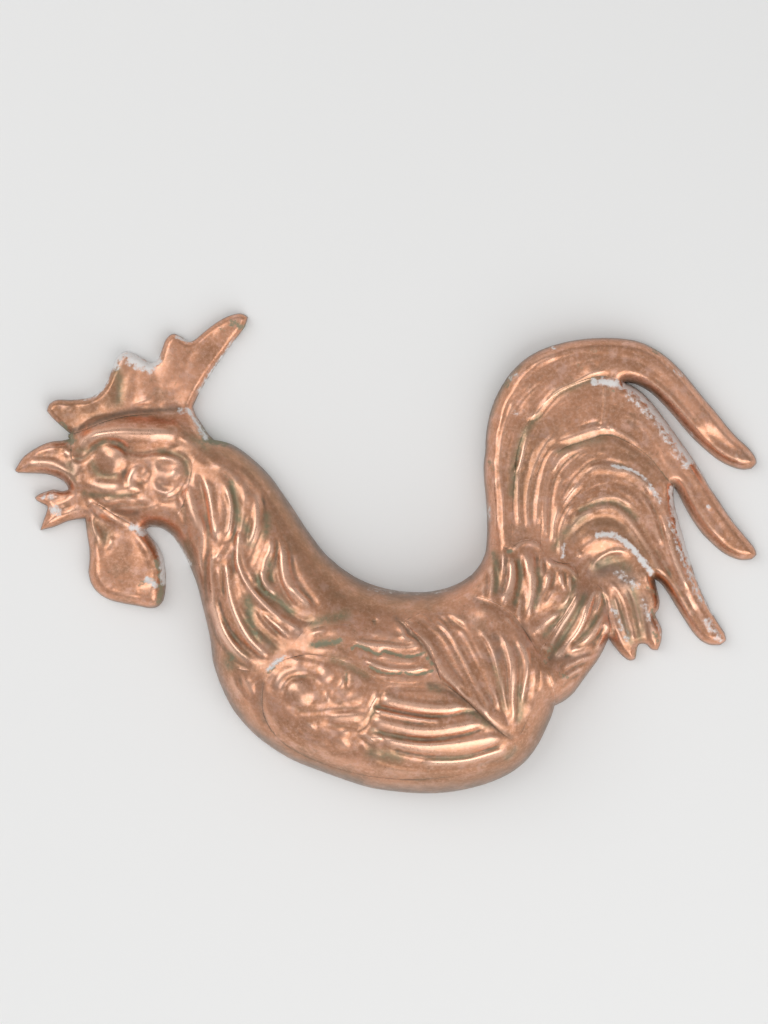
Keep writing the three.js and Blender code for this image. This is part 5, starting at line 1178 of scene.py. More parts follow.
upperBeak = dict(
    finish="rubbed_copper", edges=["beakGape", "beakTip", "beakRidge", "beakRoot"],
    ridges=[
        (1.6, 2.8, [(-181, 43.4), (-174, 44.6), (-167, 44.4), (-161, 41.6), (-156.6, 36.6),
            (-154.6, 31.6)]),
        (1.0, 3.0, [(-158, 47), (-154.6, 42), (-153.6, 36)]),
        (0.6, 1.8, [(-176, 50.6), (-169, 53.2), (-163, 53.6)]),
        (0.9, 1.6, [(-161.6, 50), (-158.8, 50.4), (-157.6, 47.4)]),
    ],
    grooves=[
        (1.0, 2.4, [(-177.6, 48), (-171, 49.4), (-165, 49), (-161.6, 47.4)]),
        (1.2, 2.0, [(-162, 53), (-159, 53.4), (-156.8, 51.6), (-156.8, 48.6)]),
        (0.8, 1.6, [(-164, 50.4), (-161.6, 51.6)]),
    ],
)
lowerBeak = dict(
    finish="dull_copper", edges=["chin", "beakFork", "tongueTop", "chinRoot"],
    ridges=[
        (1.1, 2.4, [(-171.6, 14), (-165.6, 17), (-158.6, 20), (-153.6, 23)]),
        (0.9, 2.2, [(-166, 25), (-160.6, 25.6), (-155.6, 27)]),
        (0.9, 3.0, [(-165.4, 21.6), (-164.8, 21.4)]),
        (0.8, 1.6, [(-174, 28.4), (-168, 30.2), (-162, 29.6)]),
    ],
    grooves=[
        (1.2, 2.0, [(-172, 26.8), (-166.6, 27.2), (-161, 27.8), (-158.6, 30.6)]),
        (0.6, 1.6, [(-161.6, 22), (-157, 23.6)]),
    ],
)
wattle = dict(
    finish="dull_copper", edges=["wattleFoot", "wattleBack", "wattleRoot", "wattleFront"],
    ridges=[
        (1.5, 2.6, [(-149, 22), (-146.6, 14), (-144, 9), (-142, 4.6)]),
        (1.0, 1.3, [(-138.6, 9), (-137.2, 6.6), (-138.4, 3.4), (-140.8, 1.4)]),
        (0.8, 3.6, [(-134, 4.6), (-131, 2.8)]), (0.8, 4.0, [(-140, -13), (-141.6, -10)]),
        (0.9, 3.2, [(-120, -18), (-117.6, -17)]), (1.0, 3.4, [(-139, -19.6), (-130, -21.4), (-121, -21.6)]),
        (0.9, 3.0, [(-126, 11), (-120, 5), (-116, -2)]),
    ],
    grooves=[
        (1.9, 4.6, [(-147.6, 21.6), (-143.6, 17), (-138.6, 11.6), (-132.6, 7.4)]),
        (1.2, 3.6, [(-140.6, 11.6), (-139.8, 5), (-141.6, -2)]), (0.9, 4.0, [(-119, -12), (-117.6, -8)]),
    ],
)

# Neck and breast
neck = dict(
    finish="rubbed_copper",
    edges=["throat", "neckToBreast", "neckToScapular", "neckToBack", "nape", "faceToNeck"],
    ridges=[
        (1.7, 3.0, [(-99.6, 36), (-97.4, 28), (-95, 20), (-91.8, 9)]),
        (1.0, 2.4, [(-94.4, 7), (-93.6, -2), (-93, -10)]),
        (1.0, 2.6, [(-90.6, 16), (-90.2, 8), (-91, -2), (-91, -12)]),
        (1.8, 2.6, [(-91.4, 38), (-88.2, 31), (-86.6, 23), (-85.4, 14), (-83.4, 6)]),
        (1.2, 3.4, [(-82.6, 28), (-81, 19), (-81.6, 11), (-83.6, 4)]),
        (1.4, 1.9, [(-79.6, 34), (-77, 27), (-76.2, 20), (-77, 13), (-79, 7)]),
        (1.6, 2.8, [(-85.6, 2), (-86.6, -8), (-86.6, -18), (-85.4, -27), (-82.4, -36), (-77.6, -44),
            (-71, -51)]),
        (1.2, 2.0, [(-84, -6), (-82.6, -12), (-83, -20)]),
        (1.3, 1.7, [(-86, -3.4), (-82.6, -0.6), (-79.4, 3), (-76.6, 6.4)]),
        (1.9, 2.2, [(-79, -4), (-78.6, -13), (-76.8, -23), (-73.6, -32), (-68.8, -40.6), (-62.8, -47),
            (-57.4, -51)]),
        (1.2, 2.2, [(-83.8, -32), (-80, -40.6), (-74, -48), (-66.6, -54)]),
        (1.1, 1.8, [(-75.4, -8), (-73.6, -18), (-70.6, -25)]),
        (1.9, 1.9, [(-73.4, 12), (-73, 4), (-73, -4), (-70.4, -11), (-66.2, -18.4), (-60, -25.4),
            (-53, -31.4), (-46.6, -35.8), (-41.6, -39.4)]),
        (1.2, 1.4, [(-70, 9), (-71, 1), (-69.6, -6), (-66.4, -12), (-63.4, -17)]),
        (1.4, 1.8, [(-61.6, -28.6), (-56.6, -33.4), (-51.6, -38), (-47.6, -41)]),
        (1.2, 2.4, [(-56, -31), (-50, -37.6), (-43.6, -41.6)]),
        (1.3, 2.4, [(-64.6, 34), (-63.6, 26), (-63.6, 18), (-65.4, 10), (-68, 2.6)]),
        (0.9, 1.2, [(-60, 17), (-61.6, 9), (-65, 1)]),
        (1.5, 2.2, [(-56.6, 8), (-57, 1.6), (-59.4, -3.6), (-60.2, -10), (-58, -15.8), (-54, -19)]),
        (1.3, 1.4, [(-64.4, -10.4), (-62, -9.8), (-61, -13.6), (-58.4, -17.6), (-54.4, -20.6)]),
        (1.7, 3.2, [(-50.6, 6), (-50.8, -4), (-49.4, -13), (-45, -20), (-39.6, -25.4), (-35.6, -28.4)]),
        (1.0, 1.6, [(-47.6, -16), (-42.6, -20.6), (-37, -25.6)]),
        (1.2, 3.0, [(-70.6, 38), (-69, 30), (-69, 22)]), (0.8, 2.6, [(-86, 44), (-80, 42), (-75, 36)]),
        (1.0, 2.4, [(-65, -36.6), (-60.6, -43), (-55, -47)]),
    ],
    grooves=[
        (1.3, 2.2, [(-103.6, 32), (-101.4, 24), (-99.6, 15), (-98, 5)]),
        (1.0, 1.7, [(-97, 5), (-96, -4), (-94.6, -14)]),
        (1.8, 2.2, [(-94.4, 40), (-91.4, 33), (-89.4, 24), (-88.4, 14), (-88.6, 4), (-89.4, -6),
            (-89.4, -16), (-88.4, -27)]),
        (0.8, 1.6, [(-93.4, 32), (-92, 24), (-90.6, 15)]),
        (1.8, 2.3, [(-82, 42), (-77.4, 36), (-75, 29), (-73.8, 21), (-74.6, 13), (-76.6, 7), (-79.4, 2.6),
            (-83.6, -2)]),
        (1.1, 1.7, [(-80.8, -6), (-80.8, -14), (-80, -22)]),
        (1.7, 2.2, [(-84.4, -20), (-81.4, -29), (-77.6, -37), (-72.4, -43.6), (-66, -49.4), (-60.4, -54)]),
        (1.3, 2.0, [(-88.4, -28), (-86.4, -38), (-81.6, -46), (-75, -52.6), (-67, -57)]),
        (1.4, 1.9, [(-76.2, 4), (-75.8, -6), (-74.4, -15), (-71.4, -24), (-67, -32)]),
        (1.5, 2.3, [(-70.6, -19), (-67.4, -26), (-66, -33), (-62, -38.6), (-56.6, -44), (-50.6, -47.4)]),
        (1.2, 1.6, [(-67.6, -23), (-63, -29.4), (-57.6, -35.4), (-51.6, -41)]),
        (1.1, 1.3, [(-71.6, 6), (-72, -1), (-70.6, -8), (-67.4, -14)]),
        (1.7, 2.3, [(-67.6, 20), (-68.4, 12), (-70, 5)]),
        (1.6, 2.0, [(-62, 30), (-60.4, 22), (-60.8, 14), (-63.4, 6), (-66.4, -1), (-67.6, -6)]),
        (1.3, 1.7, [(-54.6, 10), (-54, 2), (-55.4, -5), (-57, -11), (-54.6, -16)]),
        (1.6, 2.2, [(-64.6, -13), (-62, -18), (-57, -22), (-51.4, -25.4), (-46.4, -30), (-41, -33),
            (-35, -33)]),
        (1.3, 1.9, [(-53.4, 2), (-53.8, -6), (-52.6, -14), (-48.8, -22), (-44, -28)]),
        (1.2, 2.6, [(-75.6, 44), (-70, 40), (-65, 34), (-60, 26), (-54, 16), (-48, 4), (-45.6, -6),
            (-42.6, -14), (-38, -21), (-33, -27)]),
        (0.7, 1.4, [(-46.6, 0), (-46, -8), (-43, -15)]),
    ],
)
back = dict(
    finish="dull_copper", edges=["scapularTop", "saddleTop", "backToCoverts", "backEdge", "neckToBack"],
    ridges=[
        (0.8, 7.0, [(-20, -22), (0, -27), (24, -23)]), (0.9, 2.2, [(44, -14), (50, -10), (54, -4)]),
    ],
    grooves=[
        (0.9, 3.0, [(-30, -30), (-20, -32), (-10, -30)]), (0.9, 2.0, [(-5.6, -31), (-5, -35.4)]),
        (0.6, 2.0, [(44, -18), (48, -14), (51, -8)]),
    ],
)
breastAndBelly = dict(
    finish="rubbed_copper",
    edges=[
        "bodyEdge", "bodyToFluff", "saddleRearLower", "wingTip", "wingBottom", "wingShoulder",
        "neckToBreast",
    ],
    ridges=[
        (1.5, 3.2, [(-76, -58), (-76, -63.6), (-73, -68.6), (-68.6, -72.4)]),
        (1.2, 3.0, [(-69, -60), (-68.6, -66), (-65.6, -71)]),
        (0.7, 4.0, [(-82, -62), (-79, -72), (-72, -82)]),
        (1.3, 4.6, [(68, -85), (73, -78), (75.6, -69), (76.6, -60)]),
        (0.7, 3.4, [(0, -114), (20, -115), (40, -113)]),
    ],
    grooves=[
        (1.3, 2.4, [(-72.6, -58), (-72, -63.6), (-69, -68.6), (-65, -73)]),
        (1.6, 3.2, [(-62.6, -60), (-63.6, -68), (-63, -76), (-60, -83.6), (-54, -91)]),
        (1.1, 2.8, [(-54, -91), (-44, -98), (-32, -103), (-18, -107), (-2, -110), (16, -111.4),
            (34, -110)]),
        (0.7, 1.6, [(6, -112), (24, -113), (42, -110.6), (58, -106)]),
        (0.9, 2.6, [(80.6, -80), (82, -72), (80.6, -64), (78, -56)]),
        (1.0, 2.2, [(64, -90), (69, -85), (72, -79)]),
    ],
)
print("front pieces read")

# Wing, scapular feathers and saddle
wing = dict(
    finish="rubbed_copper", swell=1.0,
    edges=["wingShoulder", "wingBottom", "wingTip", "saddleFrontLower", "wingTop"],
    ridges=[
        # shoulder scales
        (2.7, 6.2, [(-44.4, -67.4), (-42.8, -68.6)]),
        (1.2, 3.0, [(-53.4, -68), (-53, -63.4), (-49.6, -59.4), (-44, -57.4), (-39, -58)]),
        (0.8, 2.4, [(-48, -53.6), (-44, -53), (-41.6, -54.6)]),
        (1.3, 3.4, [(-33.6, -57), (-29.8, -59.4), (-27.4, -63)]),
        (0.9, 1.2, [(-29.8, -67), (-29, -70.4), (-28, -73.6)]),
        (0.9, 1.4, [(-24, -65.8), (-21.6, -64.4), (-21, -60.6)]),
        (0.8, 3.0, [(-20, -70.4), (-14.6, -70.8), (-10, -70)]),
        (1.1, 1.6, [(-4, -67.6), (-5, -71.4), (-7, -75), (-7.6, -79)]),
        (1.6, 2.0, [(-14, -86.4), (-10.6, -89.6), (-6.6, -93)]), (1.2, 2.0, [(-6.4, -91.6), (-3.4, -90.8)]),
        (1.0, 1.5, [(-39.6, -82.6), (-37.4, -84.8), (-34.8, -87)]),
        (1.0, 2.6, [(-27, -93), (-22.4, -93.2), (-18.4, -96.4)]),
        (1.0, 2.8, [(-29, -78.4), (-25, -80.8), (-17, -80.4), (-10.6, -78.6)]),
        (0.7, 2.6, [(-49, -76), (-46, -78)]), (0.8, 3.4, [(-36, -92), (-30, -97), (-22, -100.6)]),
        (0.7, 2.6, [(-24, -87.6), (-18, -89.6)]), (0.5, 1.8, [(-8, -98), (-2, -100.4)]),
        # primaries, each a roll with a crevice below it
        (1.9, 3.1, [(-5, -70.8), (2, -72.4), (10, -74.2), (20, -75.9), (30, -76.4), (40, -75.4)]),
        (1.2, 1.3, [(-7, -77), (0, -78.4), (10, -80.4), (20, -82), (27, -82.6)]),
        (1.7, 3.1, [(-9, -81), (-4, -82.6), (4, -85), (12, -86.8), (20, -87.4), (30, -86.6), (40, -85),
            (48, -83.4)]),
        (1.5, 3.3, [(-4, -91.4), (4, -93.4), (12, -95), (20, -95.8), (30, -95.4), (40, -94.2), (50, -92.6),
            (59, -91)]),
        (1.1, 2.4, [(18, -103.4), (30, -103.2), (42, -102.2), (51, -100), (62, -98)]),
    ],
    grooves=[
        (0.9, 2.2, [(-58, -70), (-57, -63), (-52.6, -58.4)]),
        (1.2, 2.0, [(-50.6, -70.6), (-50, -65), (-46.4, -61.6), (-41, -60.4), (-36, -60.8),
            (-31.8, -64.6)]),
        (1.3, 2.6, [(-50, -74), (-44.6, -77), (-36, -77.4), (-26, -76.2), (-16, -76), (-9, -76.4)]),
        (1.3, 1.2, [(-19.4, -57.4), (-19.4, -61), (-19.8, -66)]),
        (1.0, 1.8, [(-26, -66), (-25, -71.4), (-21.6, -74)]),
        (1.3, 1.8, [(-1.4, -66.6), (-2.6, -71), (-4.6, -75), (-8.4, -83), (-14.6, -90)]),
        (1.1, 2.2, [(-32.6, -84), (-24, -84.8), (-16, -85.2), (-12, -87.6), (-8.6, -94.2), (-4, -96.4)]),
        (0.9, 2.0, [(-44, -84), (-39.6, -88.6), (-33, -90.4), (-27.6, -89)]),
        (0.8, 2.0, [(-30, -97), (-22, -98.6), (-14, -96.6), (-11, -92.6)]),
        (0.7, 2.4, [(-53, -82), (-47, -90), (-38, -96)]),
        (1.9, 1.4, [(-6, -75), (0, -76.4), (10, -78.6), (20, -80), (30, -79.8), (38, -78.4), (46, -78)]),
        (0.8, 0.9, [(-3, -80.4), (5, -81.8), (12, -83), (20, -84)]),
        (1.9, 1.5, [(-6, -87), (0, -89), (10, -91), (20, -91.8), (30, -90.8), (40, -88.8), (48.6, -86)]),
        (1.8, 1.5, [(2, -96.4), (12, -98.8), (22, -100.4), (32, -100.8), (41, -99.8), (50, -97),
            (58, -94)]),
        (1.0, 2.2, [(-6, -101), (6, -104.6), (20, -106.6), (36, -106.4), (50, -103.6), (59, -101.6)]),
        (1.2, 1.6, [(-1, -66.2), (8, -66.4), (18, -66.4), (28, -67), (36, -70.4)]),
    ],
)
scapular = dict(
    finish="rubbed_copper", edges=["wingTop", "saddleFrontUpper", "scapularTop", "neckToScapular"],
    ridges=[
        (1.1, 1.3, [(-38, -40), (-33, -38.4), (-28.6, -37.8)]),
        (0.7, 3.0, [(-30, -39.6), (-22, -39), (-14, -40)]),
        (1.3, 1.5, [(-16.6, -43.6), (-10, -44.8), (-2, -45.2), (8, -46), (16.6, -45.8)]),
        (0.9, 2.2, [(-8, -39.6), (2, -41), (12, -42.6)]),
        (1.3, 1.5, [(-10, -52.6), (-5, -55.4), (2, -57), (11, -57.6), (20, -56.2)]),
        (0.8, 2.6, [(-4, -51.6), (6, -53), (16, -53)]),
        (0.7, 2.8, [(-36, -48.4), (-26, -49.2), (-17, -51.6)]),
        (0.8, 2.4, [(-4, -60), (6, -61.6), (18, -61)]),
    ],
    grooves=[
        (1.4, 1.3, [(-17, -47), (-15, -45.2), (-11.8, -45.8), (-8.5, -47.5), (-3.8, -49.6), (-1.5, -47.9),
            (2, -48.4), (5.4, -49.6), (12.3, -50.8), (19.2, -48.8)]),
        (1.3, 1.3, [(-10, -54.2), (-5, -57.4), (0.8, -59), (6, -58.8), (11.2, -60), (18, -59),
            (23, -57.4)]),
        (1.4, 2.6, [(-37.6, -45.6), (-32, -43.6), (-26, -43.2), (-22, -43)]),
        (1.1, 2.2, [(-49, -48.6), (-38, -51.2), (-27, -53.4), (-18, -56), (-10, -60.4), (-2, -63.6)]),
        (0.9, 1.6, [(-6, -30.6), (-6.2, -34), (-4, -36)]),
        (0.7, 1.2, [(-12, -50), (-4, -52.6), (6, -55), (16, -55)]),
        (0.6, 1.2, [(-14, -41.6), (-4, -42.8), (6, -44)]),
    ],
    laps=[
        (1.6, 4.5, [(20, -47), (14.6, -42.6), (10.4, -40.4), (8.6, -36.4), (4, -32)]),
    ],
)
saddle = dict(
    finish="rubbed_copper", relief=0.8,
    edges=["saddleFrontUpper", "saddleFrontLower", "saddleRearLower", "saddleRearUpper", "saddleTop"],
    ridges=[
        (1.5, 1.8, [(9, -32.6), (15, -36.2), (20.6, -41.6), (24.6, -48), (28.6, -55), (33, -61),
            (38.6, -66.6)]),
        (1.4, 1.9, [(13, -30.6), (22, -35), (28, -40.4), (32.4, -47), (37, -55), (41.4, -63), (46, -72),
            (52, -80)]),
        (1.3, 1.7, [(22, -33), (28.6, -36.6), (33, -41.6), (37, -49), (42, -58), (46.4, -67), (52, -76.4)]),
        (1.3, 1.9, [(36, -36), (41.6, -42.6), (45.6, -50), (49, -58), (52, -67), (56.6, -77)]),
        (1.2, 1.7, [(46, -37), (50, -43), (53.6, -51), (55.6, -60), (58, -70), (60.6, -80)]),
        (1.5, 2.1, [(57, -41), (60.6, -48), (62.6, -56), (62.6, -65), (62.6, -74), (63.6, -83)]),
        (1.4, 1.9, [(64.6, -42), (69, -49.6), (70.4, -57), (69, -65), (67.6, -74)]),
        (1.2, 1.7, [(58, -30), (64, -35.6), (69, -41.6), (73, -48)]),
        (0.9, 2.0, [(73, -52), (73.6, -59), (72.4, -66)]), (0.9, 2.2, [(30, -28), (36, -32), (42, -37)]),
        (0.7, 3.0, [(44, -28), (52, -31), (58, -36)]),
    ],
    grooves=[
        (1.5, 1.5, [(11, -33.8), (17.6, -38.4), (23, -44), (26.6, -51), (31, -58.4), (36.6, -65),
            (42, -71.6)]),
        (1.5, 1.5, [(19.6, -31.6), (25.4, -36), (30.4, -42), (34.6, -49.6), (39, -58), (43.6, -67),
            (49.6, -76.6)]),
        (1.3, 1.4, [(29.6, -30), (34, -34), (39, -38), (43, -44.6), (47, -54), (50, -64), (54.4, -75)]),
        (1.2, 1.3, [(24.4, -29.8), (28.4, -33), (31.6, -36)]),
        (1.4, 1.5, [(47, -40.6), (51, -48.6), (53.6, -57), (55.6, -67), (58.6, -78), (60.4, -85)]),
        (1.3, 1.4, [(53, -38.6), (57.6, -46), (59.6, -54), (60, -63), (60.6, -73), (62, -82)]),
        (1.4, 1.6, [(61.6, -41), (65.4, -48.6), (66.6, -57), (66, -66), (65, -76), (64.6, -84)]),
        (1.3, 1.6, [(61, -31.6), (66.6, -38.6), (71.6, -46.6), (72, -55), (70.8, -64), (69, -74)]),
        (1.6, 2.2, [(42, -22), (51, -24.6), (59, -29), (66.6, -36), (73, -44), (76.6, -51)]),
        (0.9, 1.6, [(75.6, -56), (75.6, -63), (74, -70)]), (0.7, 1.0, [(36, -44), (40, -52), (44, -61)]),
    ],
    laps=[
        (2.4, 9.0, [(2, -30.6), (8.6, -34.4), (15, -40), (19.8, -46), (23.4, -53), (27, -60), (35, -67.4),
            (43, -75), (52, -83.4), (61, -91)]),
    ],
)
print("wing and saddle read")

# Tail
tailCoverts = dict(
    finish="rubbed_copper",
    edges=[
        "saddleRearUpper", "covertsToFluff", "covertsToPlume", "covertsTopInner", "covertsTopMiddle",
        "covertsTopOuter", "rootEdge", "backToCoverts",
    ],
    ridges=[
        (2.0, 2.4, [(61.6, -1), (62.6, -8), (62, -15), (60, -21), (58, -26)]),
        (2.4, 3.4, [(70.2, 3), (71, -4), (72.8, -11), (73.4, -19), (72, -27), (69.6, -33)]),
        (1.3, 1.6, [(63.6, 0.6), (66.4, 4.4), (70.4, 5.6), (74.4, 4.6), (77.4, 1.4)]),
        (1.3, 1.7, [(77, -1), (76.8, -7), (77.4, -12)]),
        (1.4, 1.9, [(80.8, -8), (79.4, -15), (77, -22), (74.6, -29)]),
        (1.2, 1.6, [(67, -20), (66.4, -27), (65.6, -33)]),
        (1.2, 1.5, [(79, -3.4), (83, -5.6), (88, -6.4), (92, -8.4), (94.6, -13)]),
        (1.4, 1.6, [(86, -8.6), (87.4, -13.6), (89, -18)]),
        (1.3, 1.5, [(90.6, -9.6), (91, -14.6), (91, -19)]), (1.2, 1.8, [(84, -15), (81.6, -21), (78, -27)]),
        (1.6, 2.2, [(87, -29), (81.6, -32.6), (77, -36.4), (72.6, -40)]),
        (1.1, 1.4, [(82, -36), (78, -40), (75, -44)]), (1.0, 2.0, [(57.4, 1.6), (58.6, -4), (58.4, -9)]),
        (0.9, 1.8, [(52, -6), (52.4, -14), (51.4, -22)]), (0.9, 1.6, [(47, -12), (48.4, -18), (48, -22)]),
        (1.0, 1.8, [(94, -14), (92, -21), (88, -27)]), (1.2, 1.6, [(80.6, -45.6), (77.6, -47.6)]),
    ],
    grooves=[
        (1.5, 2.0, [(53.6, 1.6), (55, -6), (55.6, -14), (54, -22)]),
        (1.4, 1.6, [(60, 0), (60, -7), (59, -14), (57, -21)]),
        (1.7, 2.2, [(65.6, 1), (66.4, -6), (67, -13), (65.4, -21), (63, -28)]),
        (1.4, 1.8, [(75.4, 1), (75.4, -7), (76, -14), (75, -22), (72.8, -31)]),
        (1.5, 1.8, [(78.6, -1), (79, -8), (78, -15), (76.6, -20)]),
        (1.3, 1.5, [(84, -7.6), (83.4, -13), (81.6, -19)]),
        (1.2, 1.4, [(88.6, -8.4), (89.4, -13), (90, -19)]),
        (1.4, 1.6, [(93, -10), (93.4, -16), (91, -24), (86, -29)]),
        (1.5, 1.6, [(93.6, -20), (90, -27.6), (84.6, -34), (79, -39), (75.4, -44)]),
        (1.2, 2.0, [(68, -31), (70, -38), (73.6, -44)]), (1.4, 1.8, [(58.6, 4.6), (60.4, 2), (63, 0.6)]),
        (0.9, 1.4, [(50, -8), (50.4, -16), (49.6, -22)]),
    ],
)
tailFluff = dict(
    finish="rubbed_copper",
    edges=["fluffEdge", "fluffToPlumeLower", "fluffToPlumeUpper", "covertsToFluff", "bodyToFluff"],
    ridges=[
        (2.2, 2.6, [(106, -15.6), (104, -21), (100.4, -28), (97.6, -35), (94, -41), (88.6, -47),
            (83.6, -53)]),
        (1.7, 2.0, [(106.6, -16), (107.6, -21), (106, -26.6), (103.4, -31)]),
        (1.6, 2.2, [(108.4, -29), (106.6, -34), (103, -40), (97, -45), (90, -49.6)]),
        (1.4, 1.8, [(110.4, -32), (110, -38), (107.6, -44), (103.6, -49)]),
        (1.2, 1.6, [(105, -45.6), (98, -47.4), (90, -50)]),
        (1.2, 1.8, [(102.6, -50.6), (95, -53), (87, -57)]), (1.1, 1.8, [(99, -56), (92, -59.6), (86, -64)]),
        (1.0, 1.8, [(95, -62), (89.6, -66), (86, -70)]),
        (1.2, 2.6, [(97, -20), (92, -29), (88, -36), (84, -44), (81, -52)]),
        (0.8, 2.0, [(82, -56), (82.6, -63), (84, -70)]),
    ],
    grooves=[
        (1.7, 2.4, [(100, -17), (96.6, -25), (92.6, -33), (87.6, -41), (82.4, -49), (79.6, -56)]),
        (1.4, 1.2, [(104.4, -19), (103.4, -25), (101, -32), (97.4, -39), (91.6, -46)]),
        (1.4, 1.6, [(108.8, -20), (108, -26), (105, -31.6), (101.4, -37)]),
        (1.1, 1.3, [(109, -35), (106.4, -40), (101.4, -44.6), (94, -47)]),
        (1.3, 1.4, [(106.4, -43.6), (101, -47), (93.6, -49.2), (87, -51.6)]),
        (1.3, 1.4, [(104, -49), (97, -51), (89.6, -54), (84.4, -58)]),
        (1.2, 1.4, [(101, -53.6), (93.6, -56.8), (87, -61)]),
        (1.1, 1.4, [(97.6, -59), (91, -63.4), (86.6, -67.4)]),
    ],
)
tailPlume = dict(
    finish="dull_copper", relief=0.85,
    edges=[
        "fluffToPlumeUpper", "fluffToPlumeLower", "plumeBlades", "plumeEdge", "plumeTop", "covertsToPlume",
    ],
    ridges=[
        (2.3, 4.6, [(97, 1), (103, 5), (110, 6), (117, 3.6), (122.6, -2)]),
        (1.5, 1.5, [(101.6, -8), (104.6, -4.4), (109, -0.8), (114, 0.8), (119.6, 0.6)]),
        (1.2, 1.7, [(96.6, -11.6), (98.6, -8), (101, -4.6), (101.4, -1)]),
        (1.0, 1.4, [(95, -1), (97.4, 0.6)]),
        (1.2, 1.3, [(111, -14), (116, -20), (118.8, -27), (120.6, -34), (124, -44)]),
        (1.0, 1.4, [(108.4, -15), (110.4, -23), (112.6, -31), (115.6, -39), (119, -47)]),
        (1.0, 1.4, [(113.6, -20), (115.6, -28), (118, -37), (121.6, -46)]),
        (1.0, 2.0, [(121, -12), (127, -19), (130, -28), (131.6, -37), (133.6, -45)]),
        (0.9, 1.6, [(117, -12), (122.6, -20), (125, -29), (126.6, -38)]),
        (0.9, 1.6, [(126.6, -8), (131, -14.6), (133.6, -22)]), (0.9, 1.4, [(133, -28), (134.8, -32)]),
        (0.9, 1.4, [(134.6, -35), (136, -40)]),
    ],
    grooves=[
        (2.4, 4.4, [(104, -9.6), (110, -6), (117, -5), (122, -8)]),
        (1.4, 1.4, [(103, -6.6), (107.4, -2.8), (113, -0.6), (119, -0.8)]),
        (1.2, 1.2, [(112.6, -17), (116.6, -24), (119, -32), (122.6, -41)]),
        (1.3, 1.6, [(107, -18), (110.4, -27), (112.6, -36), (115, -43)]),
        (1.2, 1.5, [(119, -18), (122.6, -27), (124.4, -36), (125.6, -45)]),
        (1.2, 1.5, [(124, -14), (128, -22), (129, -31), (130, -40), (131.6, -47)]),
        (1.2, 1.5, [(128, -16.6), (132.6, -18.6), (134.8, -22.6)]),
        (0.9, 1.2, [(98.6, -9.6), (101.4, -6.6), (103.6, -3)]),
    ],
)
outerSickle = dict(
    finish="rubbed_copper", relief=0.62, swell=0.6,
    edges=["outerValley", "outerSickleFront", "outerSickleTip", "outerSickleBack", "covertsTopOuter"],
    ridges=[
        (1.2, 1.3, [(58, 12), (58, 24), (56.8, 36), (56.4, 48), (57.6, 58), (60.4, 68), (63.6, 76)]),
        (0.9, 1.1, [(55.6, 14), (55.6, 26), (54.6, 38), (54.6, 50), (55.6, 60), (58.6, 70)]),
        (1.1, 1.4, [(50.6, 50), (53, 44.6), (54.6, 38.6), (53.4, 30), (54.6, 20), (55.4, 12)]),
        (1.2, 1.4, [(71, 64), (68.6, 56), (67.2, 48), (65.6, 42.4), (62, 38)]),
        (1.6, 2.0, [(69.6, 67.4), (75, 69.4), (79, 74), (83.6, 79.4), (88, 82), (94, 84.4), (101, 88.6),
            (109, 90.4)]),
        (1.1, 3.0, [(96, 91.4), (103, 91.6), (112, 92.8), (121, 91), (127, 87)]),
        (1.0, 1.4, [(66, 91.6), (71, 96), (78, 98.6), (86, 99.6)]),
        (0.9, 1.4, [(72, 93), (78, 96.4), (86, 97)]), (0.9, 1.6, [(62, 77), (66.6, 82), (72, 86)]),
        (1.2, 2.6, [(128, 86), (137, 80), (144, 73.4), (150, 66), (157, 58.6)]),
        (1.1, 2.0, [(150, 71), (155, 66), (160, 60)]),
        (1.1, 3.0, [(130, 96), (142, 88), (153, 76), (164, 64), (176, 53)]),
        (0.9, 2.4, [(160, 55), (168, 50), (176, 47), (181, 46)]), (0.7, 1.0, [(173.6, 51), (175.6, 46.4)]),
        (0.9, 2.4, [(72, 73), (70, 70)]),
    ],
    grooves=[
        (1.2, 1.1, [(56.8, 13), (56.8, 25), (55.8, 37), (55.4, 49), (56.6, 59), (59.4, 69), (62, 76)]),
        (0.9, 1.3, [(60.4, 14), (60.4, 28), (59.6, 40), (60.6, 52), (63.4, 62)]),
        (1.2, 1.4, [(50.8, 46.6), (54, 41), (54.8, 35)]),
        (1.3, 1.3, [(69.6, 62), (66.8, 53), (65, 44.6), (61, 39)]),
        (1.7, 1.7, [(70, 65), (75.6, 67.4), (80.6, 73.6), (85.6, 78.8), (91, 82), (98, 85), (105, 87.4),
            (112, 88.6)]),
        (0.9, 1.4, [(66.6, 94), (72.6, 98.6), (80, 101), (90, 101.4)]),
        (0.8, 1.4, [(80, 95), (92, 98.6), (104, 99), (116, 98), (128, 94), (138, 87), (146, 78.6)]),
        (1.1, 1.8, [(132, 88), (142, 80.6), (149.6, 72), (155.6, 63.6)]),
        (0.9, 1.4, [(140, 90), (151, 79), (161, 67)]), (0.8, 1.6, [(160, 62), (168, 55), (176, 50)]),
        (0.8, 1.3, [(64, 70), (67.6, 76), (73, 81), (80, 85)]),
    ],
)

